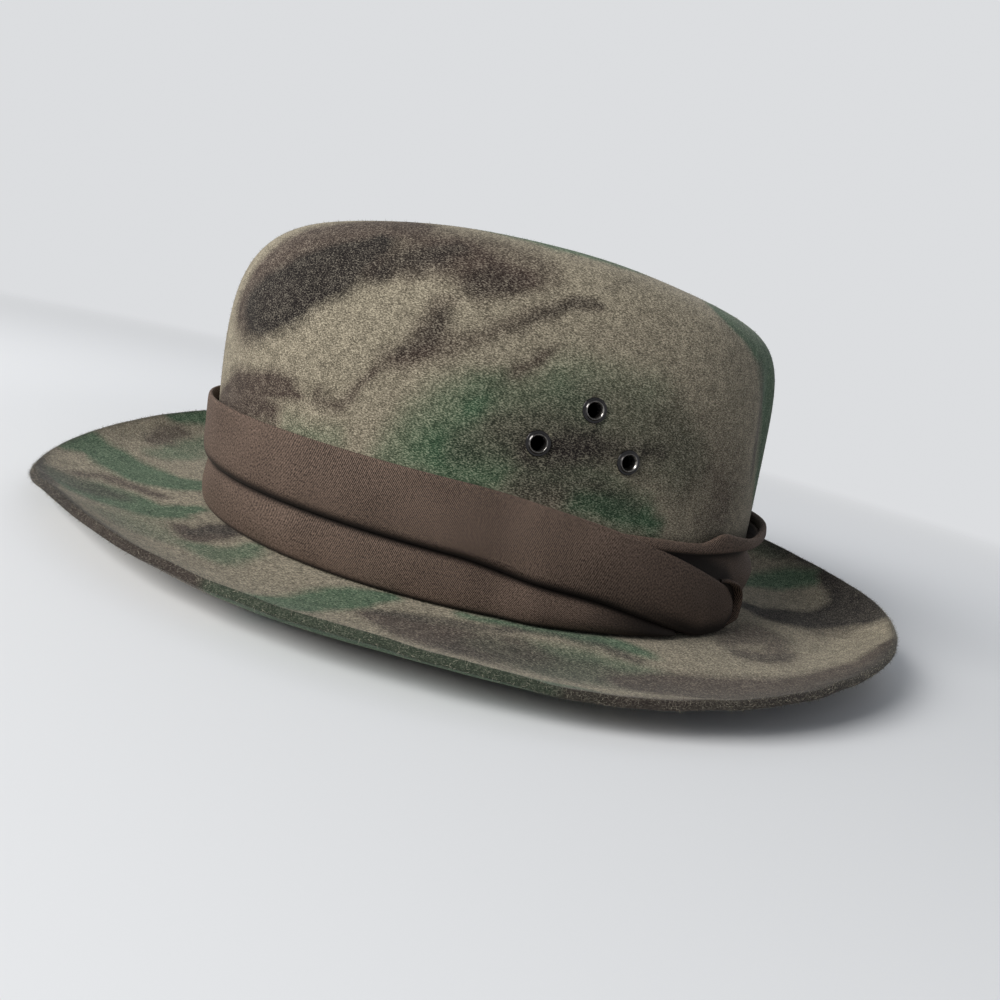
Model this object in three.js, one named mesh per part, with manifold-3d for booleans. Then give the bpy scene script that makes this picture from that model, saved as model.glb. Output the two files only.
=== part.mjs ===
// Brimmed wool felt hat with a pleated cloth band and vent eyelets.
// Millimetres, +Z up. The front of the brim points to -Y and the wearer's left side to +X.
// The origin is the middle of the hat in plan, on the surface that the hat rests on.
import * as THREE from "three";
import { mergeVertices } from "three/addons/utils/BufferGeometryUtils.js";
import Module from "manifold-3d";

// Driving dimensions of the felt: the head oval is measured on the outside of the crown.
const FELT = 2.6;
const HALF_LENGTH = 104;
const HALF_WIDTH = 84;

// The crown's top line along the hat, for a place that runs from -1 at the front to +1 at the back.
const TOP_LINE = { middle: 113.7, slope: -2.5, arch: -14, skew: 3.5, ends: 6.5 };

// How square the crown's corner is, and how far its wall leans in over the whole height.
const CORNER = { side: 6, front: 5.5, back: 9.5 };
const LEAN = { side: 0.105, front: -0.095, back: 0.1 };
const TOP_SQUARENESS = 2.17;

// The long dent in the top, and the soft upright hollow at each rear corner of the crown.
const DENT = { depth: 15, halfWidth: 21, halfLength: 58, shift: -6 };
const REAR_HOLLOW = { depth: 2.5, angle: 54, spread: 8, from: 0.25, to: 0.75, ends: 0.99 };

// The brim: a flat ring round the head opening, then a sweep up to the cut edge. The last two
// columns are the rise of the edge on the wearer's left and right side.
const BREAK_RADIUS = 1.2;
const FLAT_RING = 9;
const SWEEP_POWER = 3.2;
const BRIM = [
  { fromFront: 0, width: 56.1, left: 4.1, right: 4.1 },
  { fromFront: 22.5, width: 55.8, left: 10.5, right: 9.2 },
  { fromFront: 45, width: 58.2, left: 10.1, right: 15 },
  { fromFront: 67.5, width: 60.9, left: 10.4, right: 15.6 },
  { fromFront: 90, width: 62.6, left: 7.7, right: 15.1 },
  { fromFront: 112.5, width: 59.3, left: 10.8, right: 15.5 },
  { fromFront: 135, width: 56.6, left: 14.4, right: 16.6 },
  { fromFront: 157.5, width: 55.5, left: 16.3, right: 17.4 },
  { fromFront: 180, width: 54.9, left: 15.7, right: 15.7 },
];

// The band: height of each edge above the brim at an angle from the side, positive to the back.
// Angles past -180 run on round the hat's other side to the back.
const BAND_EDGES = [
  { angle: -240, top: 37, valley: 17 },
  { angle: -180, top: 38, valley: 17 },
  { angle: -90, top: 38, valley: 17 },
  { angle: -18, top: 38, valley: 16.5 },
  { angle: -5, top: 36.5, valley: 13.5 },
  { angle: 7, top: 33.5, valley: 11 },
  { angle: 16, top: 30, valley: 7.5 },
  { angle: 25, top: 26, valley: 3.6 },
  { angle: 33, top: 21.5, valley: 0.5 },
  { angle: 42, top: 15.5, valley: 0.5 },
  { angle: 46.5, top: 11.5, valley: 4.5 },
];
const UPPER_PLEAT_ENDS = [-222, 46.5];
const LOWER_PLEAT_ENDS = [-222, 27];
const REAR_WRAP_ENDS = [4, 150];
const HEM = [
  { angle: 0, top: 31.5, standOff: 0, bend: 22 },
  { angle: 10, top: 33, standOff: 0, bend: 26 },
  { angle: 22, top: 34, standOff: 1, bend: 29 },
  { angle: 34, top: 35.5, standOff: 2.6, bend: 24 },
  { angle: 50, top: 36, standOff: 3.6, bend: 21 },
  { angle: 66, top: 37, standOff: 4, bend: 21 },
  { angle: 90, top: 37, standOff: 2, bend: 23 },
  { angle: 115, top: 36.5, standOff: 0.6, bend: 23 },
  { angle: 130, top: 35.5, standOff: 0, bend: 23 },
  { angle: 150, top: 34, standOff: 0, bend: 23 },
];
const BAND_GAP = 0.4;
const WRAP_CLOTH = 1.3;
const OVER_WRAP = WRAP_CLOTH + 0.3;
const WRAP_LAP = 8;

// The narrow fold of cloth that holds the end of the upper pleat, as an arc on the crown wall.
const TUCK = { angle: 40, height: 9.5, across: 14.5, up: 8, cloth: 1.2, from: -72, to: 78, reach: 4.2 };

// Vent eyelets: three on each side of the crown, in a flat triangle.
const EYELET = { flange: 3.9, hole: 2.25, barrel: 2.75, lip: 1.1, seat: 0.35 };
const EYELETS = [
  { name: "front", angle: -8, height: 53.7 },
  { name: "top", angle: 0, height: 66.8 },
  { name: "rear", angle: 8, height: 53.7 },
];
const HOLE_CLEARANCE = 0.3;

// Mesh fineness.
const ROUND = 72;
const CROWN_ROWS = 15;
const BRIM_ROWS = 6;
const BAND_STEP = 5;
const EYELET_SIDES = 14;

const radians = THREE.MathUtils.degToRad;
const signedPower = (value, power) => Math.sign(value) * Math.abs(value) ** power;
const bump = (value, centre, spread) => Math.exp(-(((value - centre) / spread) ** 2));

// A number for each angle that changes softly from the side to the front and the back.
function round({ side, front, back }, angle) {
  const end = Math.sin(angle) ** 2;
  return side * (1 - end) + (Math.sin(angle) < 0 ? front : back) * end;
}

// A smooth line through the rows of a table, level past its ends.
function along(table, key, column, place) {
  const last = table.length - 1;
  let row = table.findIndex((entry) => place < entry[key]) - 1;
  if (row === -2) row = last;
  const at = (index) => table[THREE.MathUtils.clamp(index, 0, last)];
  if (row < 0 || row >= last) return at(row)[column];
  const share = (place - at(row)[key]) / (at(row + 1)[key] - at(row)[key]);
  const slope = (index) => {
    if (index <= 0 || index >= last) return 0;
    const span = at(index + 1)[key] - at(index - 1)[key];
    return (at(index + 1)[column] - at(index - 1)[column]) / span;
  };
  const step = at(row + 1)[key] - at(row)[key];
  const [a, b] = [at(row)[column], at(row + 1)[column]];
  const [slopeA, slopeB] = [slope(row) * step, slope(row + 1) * step];
  const rest = 1 - share;
  const ends = a * rest * rest * (1 + 2 * share) + b * share * share * (1 + 2 * rest);
  return ends + slopeA * share * rest * rest - slopeB * share * share * rest;
}

// Outer face of the crown. The way runs from 0 at the brim to 1 at the corner and 2 at the
// middle of the top: a superellipse from the side, on an oval plan.
function crownPoint(angle, way) {
  const turn = way <= 1 ? Math.atan(way) : Math.PI / 2 - Math.atan(2 - way);
  const corner = round(CORNER, angle);
  const reach = (Math.cos(turn) ** corner + Math.sin(turn) ** corner) ** (-1 / corner);
  const rise = reach * Math.sin(turn);
  const plan = 2 / (2 + (TOP_SQUARENESS - 2) * rise);
  const side = THREE.MathUtils.radToDeg(Math.atan2(Math.sin(angle), Math.abs(Math.cos(angle))));
  const level = THREE.MathUtils.smoothstep(rise, REAR_HOLLOW.from, REAR_HOLLOW.to)
    * (1 - THREE.MathUtils.smoothstep(rise, REAR_HOLLOW.to, REAR_HOLLOW.ends));
  const hollow = REAR_HOLLOW.depth * level * bump(side, REAR_HOLLOW.angle, REAR_HOLLOW.spread);
  const spread = reach * Math.cos(turn) * (1 - round(LEAN, angle) * rise) * (1 - hollow / HALF_WIDTH);
  const x = HALF_WIDTH * spread * signedPower(Math.cos(angle), plan);
  const y = HALF_LENGTH * spread * signedPower(Math.sin(angle), plan);
  const place = y / HALF_LENGTH;
  const line = TOP_LINE.middle + place * (TOP_LINE.slope + place * (TOP_LINE.arch
    + place * (TOP_LINE.skew + place * TOP_LINE.ends)));
  const dent = DENT.depth * bump(x, 0, DENT.halfWidth)
    * Math.exp(-(((y - DENT.shift) / DENT.halfLength) ** 4)) * rise ** 8;
  return new THREE.Vector3(x, y, FELT + rise * line - dent);
}

// Outward direction of the head oval in plan.
function planNormal(angle) {
  return new THREE.Vector3(Math.cos(angle) / HALF_WIDTH, Math.sin(angle) / HALF_LENGTH, 0).normalize();
}

function ovalPoint(angle, offset, z) {
  const base = new THREE.Vector3(HALF_WIDTH * Math.cos(angle), HALF_LENGTH * Math.sin(angle), z);
  return base.addScaledVector(planNormal(angle), offset);
}

// Upper face of the brim. The way runs from 0 at the crown to 1 at the cut edge.
function brimPoint(angle, way) {
  const fromFront = Math.abs(((THREE.MathUtils.radToDeg(angle) + 90 + 540) % 360) - 180);
  const width = along(BRIM, "fromFront", "width", fromFront);
  const rise = along(BRIM, "fromFront", Math.cos(angle) > 0 ? "left" : "right", fromFront);
  const offset = BREAK_RADIUS + (width - BREAK_RADIUS) * way;
  const sweep = Math.max(0, (offset - FLAT_RING) / (width - FLAT_RING));
  return ovalPoint(angle, offset, FELT + rise * sweep ** SWEEP_POWER);
}

// The far face of the felt under a point of a surface, one felt thickness in. The turn is 1
// where the way climbs the crown and -1 where it runs out over the brim.
function throughFelt(surface, angle, way, turn, high) {
  const small = 0.002;
  const before = surface(angle, Math.max(0, way - small));
  const after = surface(angle, Math.min(high, way + small));
  const left = surface(angle - small, way);
  const right = surface(angle + small, way);
  const normal = right.sub(left).cross(after.sub(before)).normalize();
  return surface(angle, way).addScaledVector(normal, -FELT * turn);
}

// Pairs of outer and inner points down one section, from the crown's top to the brim's edge.
function feltSection(angle) {
  const pairs = [];
  for (let row = 1; row < CROWN_ROWS; row += 1) {
    const spread = 1 - (2 * row) / CROWN_ROWS;
    const way = 1 + spread * (0.45 + 0.55 * spread * spread);
    pairs.push([crownPoint(angle, way), throughFelt(crownPoint, angle, way, 1, 2)]);
  }
  const heel = FELT + BREAK_RADIUS;
  for (const turn of [180, 225, 270].map(radians)) {
    const arc = (radius) => ovalPoint(
      angle, BREAK_RADIUS + radius * Math.cos(turn), heel + radius * Math.sin(turn));
    pairs.push([arc(BREAK_RADIUS), arc(heel)]);
  }
  const ring = (FLAT_RING - BREAK_RADIUS) / (along(BRIM, "fromFront", "width", 90) - BREAK_RADIUS);
  for (let row = 0; row <= BRIM_ROWS; row += 1) {
    const way = ring * 0.85 + (1 - ring * 0.85) * (row / BRIM_ROWS) ** 0.8;
    const outer = brimPoint(angle, way);
    const inner = row === 0 ? outer.clone().setZ(0) : throughFelt(brimPoint, angle, way, -1, 1.01);
    pairs.push([outer, inner]);
  }
  return pairs;
}

function geometryFrom(points, faces) {
  const geometry = new THREE.BufferGeometry().setFromPoints(points);
  geometry.setIndex(faces);
  return geometry;
}

// A closed tube of sections: each section is a ring of points, joined to the next one.
function skin(sections, closed) {
  const size = sections[0].length;
  const faces = [];
  const last = closed ? sections.length : sections.length - 1;
  for (let row = 0; row < last; row += 1) {
    const [here, there] = [row * size, ((row + 1) % sections.length) * size];
    for (let k = 0; k < size; k += 1) {
      const next = (k + 1) % size;
      faces.push(here + k, there + next, here + next, here + k, there + k, there + next);
    }
  }
  if (!closed) {
    const end = (sections.length - 1) * size;
    for (let k = 1; k < size - 1; k += 1) {
      faces.push(0, k, k + 1, end, end + k + 1, end + k);
    }
  }
  return geometryFrom(sections.flat(), faces);
}

// The felt as one body: outer face, cut edge and inner face, closed at the top by two fans.
function feltShell() {
  const points = [crownPoint(0, 2), crownPoint(0, 2).setZ(crownPoint(0, 2).z - FELT)];
  const faces = [];
  const sections = [];
  for (let step = 0; step < ROUND; step += 1) {
    const pairs = feltSection((2 * Math.PI * step) / ROUND);
    const outer = pairs.map(([point]) => point);
    const inner = pairs.map(([, point]) => point).reverse();
    sections.push([...outer, ...inner]);
  }
  const size = sections[0].length;
  for (let step = 0; step < ROUND; step += 1) {
    const [here, there] = [2 + step * size, 2 + ((step + 1) % ROUND) * size];
    for (let k = 0; k < size - 1; k += 1) {
      faces.push(here + k, here + k + 1, there + k + 1, here + k, there + k + 1, there + k);
    }
    faces.push(0, here, there, 1, there + size - 1, here + size - 1);
  }
  return geometryFrom([...points, ...sections.flat()], faces);
}

// The crown wall at a height above the brim, moved out by an offset, for what lies on it.
function wallPoint(degrees, height, offset) {
  const angle = radians(degrees);
  let [low, high] = [0, 1];
  for (let step = 0; step < 30; step += 1) {
    const middle = (low + high) / 2;
    if (crownPoint(angle, middle).z < FELT + Math.max(height, 0)) low = middle;
    else high = middle;
  }
  return crownPoint(angle, low).setZ(FELT + height).addScaledVector(planNormal(angle), offset);
}

// How far the pleats stand out where they lie over the ends of the rear wrap.
function lapOver(degrees) {
  const [start, end] = REAR_WRAP_ENDS;
  const near = THREE.MathUtils.smoothstep(degrees, start - WRAP_LAP - 6, start - 6);
  const far = 1 - THREE.MathUtils.smoothstep(degrees, end - 360 + 6, end - 360 + WRAP_LAP + 6);
  return OVER_WRAP * Math.max(near, far);
}

// A strip of cloth on the crown wall: its section is a ring of [offset, height] at each angle.
function clothStrip([start, end], section) {
  const steps = Math.round((end - start) / BAND_STEP);
  const rings = [];
  for (let step = 0; step <= steps; step += 1) {
    const degrees = start + ((end - start) * step) / steps;
    rings.push(section(degrees).map(([offset, height]) => wallPoint(degrees, height, offset)));
  }
  return skin(rings, false);
}

function upperPleatSection(degrees) {
  const top = along(BAND_EDGES, "angle", "top", degrees);
  const foot = Math.max(along(BAND_EDGES, "angle", "valley", degrees), 0.5);
  const near = BAND_GAP + lapOver(degrees);
  const tall = top - foot;
  return [
    [near, foot + 2.2],
    [near + 1.2, foot + 0.2],
    [near + 2.2, foot + 0.08 * tall],
    [near + 2.6, foot + 0.25 * tall],
    [near + 2.3, foot + 0.6 * tall],
    [near + 1.7, top - 1.2],
    [near + 0.9, top],
    [near, top - 0.8],
  ];
}

function lowerPleatSection(degrees) {
  const top = Math.max(along(BAND_EDGES, "angle", "valley", degrees) - 0.35, 2);
  const near = BAND_GAP + lapOver(degrees);
  return [
    [near, 0.2 + 0.12 * top],
    [near + 1.4, 0.4],
    [near + 2.5, 0.4 + 0.1 * top],
    [near + 3, 0.4 + 0.32 * top],
    [near + 2.5, 0.66 * top],
    [near + 1.6, 0.88 * top],
    [near + 0.7, top],
    [near, 0.94 * top],
  ];
}

function rearWrapSection(degrees) {
  const top = along(HEM, "angle", "top", degrees);
  const off = BAND_GAP + along(HEM, "angle", "standOff", degrees);
  const bend = along(HEM, "angle", "bend", degrees);
  return [
    [BAND_GAP, 2.4],
    [BAND_GAP + 0.9, 0.5],
    [BAND_GAP + WRAP_CLOTH, 2.4],
    [BAND_GAP + WRAP_CLOTH, bend],
    [off + WRAP_CLOTH, top - 3],
    [off + WRAP_CLOTH, top - 0.9],
    [off + WRAP_CLOTH / 2, top],
    [off, top - 0.9],
    [off, top - 3],
    [BAND_GAP, bend],
  ];
}

function tuckFold() {
  const rings = [];
  const inner = BAND_GAP + WRAP_CLOTH + 0.3;
  const steps = 14;
  for (let step = 0; step <= steps; step += 1) {
    const turn = radians(TUCK.from + ((TUCK.to - TUCK.from) * step) / steps);
    const place = (grow) => [
      TUCK.angle + ((TUCK.across + grow) * Math.cos(turn) * 180) / (Math.PI * 92),
      TUCK.height + (TUCK.up + grow) * Math.sin(turn),
    ];
    const [[nearAngle, nearHeight], [farAngle, farHeight]] = [place(0), place(TUCK.cloth)];
    rings.push([
      wallPoint(nearAngle, nearHeight, inner),
      wallPoint(farAngle, farHeight, inner),
      wallPoint(farAngle, farHeight, inner + TUCK.reach),
      wallPoint(nearAngle, nearHeight, inner + TUCK.reach),
    ]);
  }
  return skin(rings, false);
}

// Where an eyelet sits: on the crown's outer face, facing straight out of it.
function eyeletSeat({ angle, height }, side) {
  const here = wallPoint(angle, height, 0);
  const up = wallPoint(angle, height + 3, 0).sub(wallPoint(angle, height - 3, 0));
  const on = wallPoint(angle + 2, height, 0).sub(wallPoint(angle - 2, height, 0));
  const facing = on.cross(up).normalize();
  here.x *= side;
  facing.x *= side;
  return { here, facing };
}

// A rolled metal ring: outer flange, barrel through the felt, and inner flange.
function eyeletRing() {
  const under = -FELT - EYELET.seat;
  const profile = [
    [EYELET.hole, under - 0.8],
    [EYELET.flange - 0.3, under - 0.6],
    [EYELET.flange - 0.3, under],
    [EYELET.barrel, under],
    [EYELET.barrel, EYELET.seat],
    [EYELET.flange, EYELET.seat],
    [EYELET.flange - 0.5, EYELET.lip],
    [EYELET.hole + 0.4, EYELET.lip],
    [EYELET.hole, EYELET.seat],
    [EYELET.hole, under - 0.8],
  ];
  const points = profile.map(([radius, out]) => new THREE.Vector2(radius, out));
  return new THREE.LatheGeometry(points, EYELET_SIDES);
}

const wasm = await Module();
wasm.setup();

function toSolid(geometry, matrix) {
  const plain = geometry.clone();
  if (matrix) plain.applyMatrix4(matrix);
  plain.deleteAttribute("normal");
  plain.deleteAttribute("uv");
  const merged = mergeVertices(plain, 1e-4);
  return new wasm.Manifold(new wasm.Mesh({
    numProp: 3,
    vertProperties: new Float32Array(merged.attributes.position.array),
    triVerts: new Uint32Array(merged.index.array),
  }));
}

function toGeometry(solid) {
  const mesh = solid.getMesh();
  const geometry = new THREE.BufferGeometry();
  geometry.setAttribute("position", new THREE.BufferAttribute(mesh.vertProperties, 3));
  geometry.setIndex(new THREE.BufferAttribute(mesh.triVerts, 1));
  geometry.computeVertexNormals();
  return geometry;
}

// The felt with a round hole for each eyelet.
function feltBody() {
  let solid = toSolid(feltShell());
  const drill = new THREE.CylinderGeometry(
    EYELET.barrel + HOLE_CLEARANCE, EYELET.barrel + HOLE_CLEARANCE, 6 * FELT, EYELET_SIDES);
  for (const side of [1, -1]) {
    for (const place of EYELETS) {
      const { here, facing } = eyeletSeat(place, side);
      const turn = new THREE.Quaternion().setFromUnitVectors(THREE.Object3D.DEFAULT_UP, facing);
      const matrix = new THREE.Matrix4().compose(here, turn, new THREE.Vector3(1, 1, 1));
      solid = solid.subtract(toSolid(drill, matrix));
    }
  }
  return toGeometry(solid);
}

const feltFinish = { color: 0x8a8068, roughness: 0.95, metalness: 0 };
const clothFinish = { color: 0x5a4940, roughness: 0.85, metalness: 0 };
const metalFinish = { color: 0x4a4a4e, roughness: 0.35, metalness: 0.9 };

const hat = new THREE.Group();

function add(name, geometry, finish) {
  const mesh = new THREE.Mesh(geometry, new THREE.MeshStandardMaterial(finish));
  mesh.name = name;
  hat.add(mesh);
  return mesh;
}

add("felt_body", feltBody(), feltFinish);
add("band_upper_pleat", clothStrip(UPPER_PLEAT_ENDS, upperPleatSection), clothFinish);
add("band_lower_pleat", clothStrip(LOWER_PLEAT_ENDS, lowerPleatSection), clothFinish);
add("band_rear_wrap", clothStrip(REAR_WRAP_ENDS, rearWrapSection), clothFinish);
add("band_tuck_fold", tuckFold(), clothFinish);

for (const [sideName, side] of [["left", 1], ["right", -1]]) {
  for (const place of EYELETS) {
    const { here, facing } = eyeletSeat(place, side);
    const eyelet = add(`eyelet_${sideName}_${place.name}`, eyeletRing(), metalFinish);
    eyelet.position.copy(here);
    eyelet.quaternion.setFromUnitVectors(THREE.Object3D.DEFAULT_UP, facing);
  }
}

export default hat;
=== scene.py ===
# %% [markdown]
# # A brimmed wool felt hat
#
# The hat is one moulded piece of wool felt with a printed pattern, a pleated band of brown
# twill and six metal vent eyelets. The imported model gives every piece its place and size.
# Here each piece gets its fine surface: a shape is worked out as a function of an angle
# round the hat and a way up its section, in whole arrays, and then handed to the mesh.

# %% The frame
import math

import bpy
import numpy as np
from mathutils import Matrix, Vector


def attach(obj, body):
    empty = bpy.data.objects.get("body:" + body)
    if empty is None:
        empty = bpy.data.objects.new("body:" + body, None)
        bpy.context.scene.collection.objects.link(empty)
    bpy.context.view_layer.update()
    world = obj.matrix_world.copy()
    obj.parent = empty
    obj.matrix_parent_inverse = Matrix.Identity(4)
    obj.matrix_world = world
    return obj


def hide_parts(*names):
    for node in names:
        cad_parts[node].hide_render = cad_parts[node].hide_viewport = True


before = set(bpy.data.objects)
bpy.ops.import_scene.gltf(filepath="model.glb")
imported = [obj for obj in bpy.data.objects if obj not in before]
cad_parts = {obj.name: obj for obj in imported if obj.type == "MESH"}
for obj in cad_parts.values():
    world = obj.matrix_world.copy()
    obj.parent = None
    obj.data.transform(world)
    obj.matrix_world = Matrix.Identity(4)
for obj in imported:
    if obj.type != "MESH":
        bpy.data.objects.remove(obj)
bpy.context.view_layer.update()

MM = 0.001

# %% [markdown]
# ## Camera
#
# The hat was photographed from its left side, a little above the brim, with the camera held
# so that the hat leans in the picture. A camera can be placed by eye or worked out: here it
# was fitted to the brim's outline, the crown and the eyelets, so the picture's proportions
# come out right. The camera turns round the head opening's middle and rolls about its axis.

# %% The camera
FOCAL_PIXELS = 843.8
PICTURE_PIXELS = 1000.0
SENSOR = 36.0
CAMERA = {"distance": 337.9, "round": 73.1, "above": 14.23, "roll": 14.19, "target_height": 2.6}
TARGET_PIXEL = (481.9, 542.7)


def camera_axes():
    """Rows right, up and ahead: the view axes of a camera that looks at the hat's middle, rolled
    about its own axis, and then turned so that the middle falls on the target pixel."""
    turn, lift, roll = np.radians([CAMERA["round"], CAMERA["above"], CAMERA["roll"]])
    back = np.array([math.sin(turn) * math.cos(lift), -math.cos(turn) * math.cos(lift), math.sin(lift)])
    right = np.array([math.cos(turn), math.sin(turn), 0.0])
    up = np.cross(back, right)
    level = np.stack([
        right * math.cos(roll) + up * math.sin(roll),
        up * math.cos(roll) - right * math.sin(roll),
        -back,
    ])
    middle = PICTURE_PIXELS / 2
    aim = Vector(((TARGET_PIXEL[0] - middle) / FOCAL_PIXELS, (middle - TARGET_PIXEL[1]) / FOCAL_PIXELS, 1))
    swing = np.array(Vector((0, 0, 1)).rotation_difference(aim).to_matrix())
    return swing @ level, back


axes, camera_back = camera_axes()
camera_data = bpy.data.cameras.new("camera")
camera_data.sensor_width = SENSOR
camera_data.lens = FOCAL_PIXELS * SENSOR / PICTURE_PIXELS
camera_data.clip_start = 0.01
camera = bpy.data.objects.new("camera", camera_data)
bpy.context.scene.collection.objects.link(camera)
camera.matrix_world = Matrix(np.stack([axes[0], axes[1], -axes[2]], axis=1).tolist()).to_4x4()
camera.location = camera_back * CAMERA["distance"] * MM + np.array([0, 0, CAMERA["target_height"] * MM])
bpy.context.scene.camera = camera
print("camera at", [round(v, 3) for v in camera.location], "lens", round(camera_data.lens, 2))

# %% [markdown]
# ## Helpers for meshes
#
# Every shape in this file ends as an array of points and an array of faces. It could be built
# by clicking or with modifiers, but arrays keep all sizes in sight, and a grid of points needs
# only one rule for its faces.


# %% Mesh helpers
def make_object(name, points, faces, smooth=True):
    """A mesh object from an array of points and an array or list of faces."""
    mesh = bpy.data.meshes.new(name)
    mesh.from_pydata(points, [], faces if isinstance(faces, list) else faces.tolist())
    mesh.polygons.foreach_set("use_smooth", np.full(len(mesh.polygons), smooth))
    mesh.update()
    made = bpy.data.objects.new(name, mesh)
    bpy.context.scene.collection.objects.link(made)
    return made


def grid_faces(rows, columns, wrap_rows=False, wrap_columns=False):
    """Quads between neighbouring points of a grid that is stored row after row."""
    row = np.arange(rows if wrap_rows else rows - 1)[:, None]
    column = np.arange(columns if wrap_columns else columns - 1)[None, :]
    below, beside = (row + 1) % rows, (column + 1) % columns
    corners = [row * columns + column, row * columns + beside, below * columns + beside,
               below * columns + column]
    return np.stack([np.broadcast_to(c, (row.size, column.size)) for c in corners], -1).reshape(-1, 4)


# %% [markdown]
# ## Helpers for finishes
#
# A finish is a small net of shader nodes. It could be drawn in the shader editor; in a script
# each node is one line, if short helpers set its inputs and hand back its output. Colours are
# given as they look on a screen and turned into the linear values that nodes use.


# %% Node helpers
def srgb(red, green, blue):
    """A screen colour from 0 to 255 as linear values: a straight piece near black, then a power."""
    seen = np.array([red, green, blue]) / 255
    linear = np.where(seen <= 0.04045, seen / 12.92, ((seen + 0.055) / 1.055) ** 2.4)
    return (*[float(v) for v in linear], 1.0)


def new_material(name):
    """A material with its node tree and its Principled shader."""
    made = bpy.data.materials.new(name)
    made.use_nodes = True
    return made, made.node_tree, made.node_tree.nodes["Principled BSDF"]


def join(tree, value, socket):
    """Sets a socket to a plain number or colour, or links another node's output to it."""
    if isinstance(value, (int, float, tuple)):
        socket.default_value = value
    else:
        tree.links.new(value, socket)


def math_node(tree, operation, first, second=0.0, clamp=False):
    """One sum of a Math node; each input is a number or a socket."""
    node = tree.nodes.new("ShaderNodeMath")
    node.operation = operation
    node.use_clamp = clamp
    join(tree, first, node.inputs[0])
    join(tree, second, node.inputs[1])
    return node.outputs[0]


def product(tree, first, second):
    """The two inputs multiplied."""
    return math_node(tree, "MULTIPLY", first, second)


def mix_colour(tree, share, first, second, blend="MIX"):
    """The first colour with so great a share of the second."""
    node = tree.nodes.new("ShaderNodeMix")
    node.data_type = "RGBA"
    node.blend_type = blend
    join(tree, share, node.inputs["Factor"])
    join(tree, first, node.inputs["A"])
    join(tree, second, node.inputs["B"])
    return node.outputs["Result"]


def noise(tree, coordinates, scale, detail=2.0, roughness=0.5, distortion=0.0):
    """A cloudy number from 0 to 1 that changes from place to place."""
    node = tree.nodes.new("ShaderNodeTexNoise")
    settings = {"Vector": coordinates, "Scale": scale, "Detail": detail, "Roughness": roughness,
                "Distortion": distortion}
    for key, value in settings.items():
        join(tree, value, node.inputs[key])
    return node.outputs["Fac"]


def remap(tree, value, low, high, to_low=0.0, to_high=1.0, smooth=False):
    """Moves the range low to high onto another range, in a straight line or with level ends."""
    node = tree.nodes.new("ShaderNodeMapRange")
    node.interpolation_type = "SMOOTHSTEP" if smooth else "LINEAR"
    tree.links.new(value, node.inputs["Value"])
    for key, number in zip(("From Min", "From Max", "To Min", "To Max"), (low, high, to_low, to_high)):
        node.inputs[key].default_value = number
    return node.outputs["Result"]


# %% [markdown]
# ## Floor and light
#
# The hat stands on a pale studio sweep. A flat plane would show a horizon, so the floor is a
# wide dish instead: flat in the middle, then curving up into a wall all the way round. It is
# worked out as rings, and split in two objects, because the wall should not light the hat.

# %% The dish
DISH = {"rings": [0.02, 0.3, 0.7], "flat": 1.1, "bend": 0.9, "wall": 1.6}
DISH_SIDES = 96
DISH_ROWS = 24


def dish_points():
    """Rings about the middle: flat out to one radius, a quarter circle up, then a straight wall."""
    bend = np.radians(np.linspace(0, 90, DISH_ROWS))
    radius = np.concatenate([DISH["rings"], DISH["flat"] + DISH["bend"] * np.sin(bend)])
    height = np.concatenate([np.zeros(len(DISH["rings"])), DISH["bend"] * (1 - np.cos(bend))])
    radius = np.append(radius, DISH["flat"] + DISH["bend"])
    height = np.append(height, DISH["wall"])
    turn = np.linspace(0, 2 * np.pi, DISH_SIDES, endpoint=False)
    x = radius[:, None] * np.cos(turn)
    y = radius[:, None] * np.sin(turn)
    return np.stack([x, y, np.broadcast_to(height[:, None], x.shape)], -1)


rings = dish_points()
floor_rings, wall_rings = np.split(rings, [len(DISH["rings"])])
wall_rings = np.concatenate([floor_rings[-1:], wall_rings])
floor_faces = grid_faces(len(floor_rings), DISH_SIDES, wrap_columns=True)[:, ::-1].tolist()
floor_faces += [list(range(DISH_SIDES))]
floor = make_object("floor", floor_rings.reshape(-1, 3), floor_faces)
wall_faces = grid_faces(len(wall_rings), DISH_SIDES, wrap_columns=True)[:, ::-1]
backdrop = make_object("backdrop", wall_rings.reshape(-1, 3), wall_faces)
backdrop.visible_diffuse = False
print("dish rings", len(rings))

# %% [markdown]
# ### Paper
#
# Lamplight falls off across a room, and a wall near a lamp would burn out. One way out is a
# room full of lamps. Here the paper takes lamplight only near the hat; further out its colour
# fades to black and it glows evenly by itself, so the wall is plain from every side.

# %% Paper
PAPER = (0.73, 0.742, 0.76, 1)
BLACK = (0, 0, 0, 1)
PAPER_ROUGHNESS = 0.9
PAPER_GLOSS = 0.5
GLOW = {"from": 0.18, "to": 0.8, "strength": 0.98}
DIM = {"from": 0.25, "to": 0.72}

paper, tree, shader = new_material("studio_paper")
shader.inputs["Roughness"].default_value = PAPER_ROUGHNESS
shader.inputs["Emission Color"].default_value = PAPER
reach = tree.nodes.new("ShaderNodeVectorMath")
reach.operation = "LENGTH"
tree.links.new(tree.nodes.new("ShaderNodeTexCoord").outputs["Object"], reach.inputs[0])
far = reach.outputs["Value"]
glow = remap(tree, far, GLOW["from"], GLOW["to"], 0, GLOW["strength"], smooth=True)
tree.links.new(glow, shader.inputs["Emission Strength"])
gloss = remap(tree, far, DIM["from"], DIM["to"], PAPER_GLOSS, 0, smooth=True)
tree.links.new(gloss, shader.inputs["Specular IOR Level"])
dimmed = remap(tree, far, DIM["from"], DIM["to"], smooth=True)
tree.links.new(mix_colour(tree, dimmed, PAPER, BLACK), shader.inputs["Base Color"])
for staged in (floor, backdrop):
    staged.data.materials.append(paper)
print("paper on", paper.users, "objects")

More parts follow.
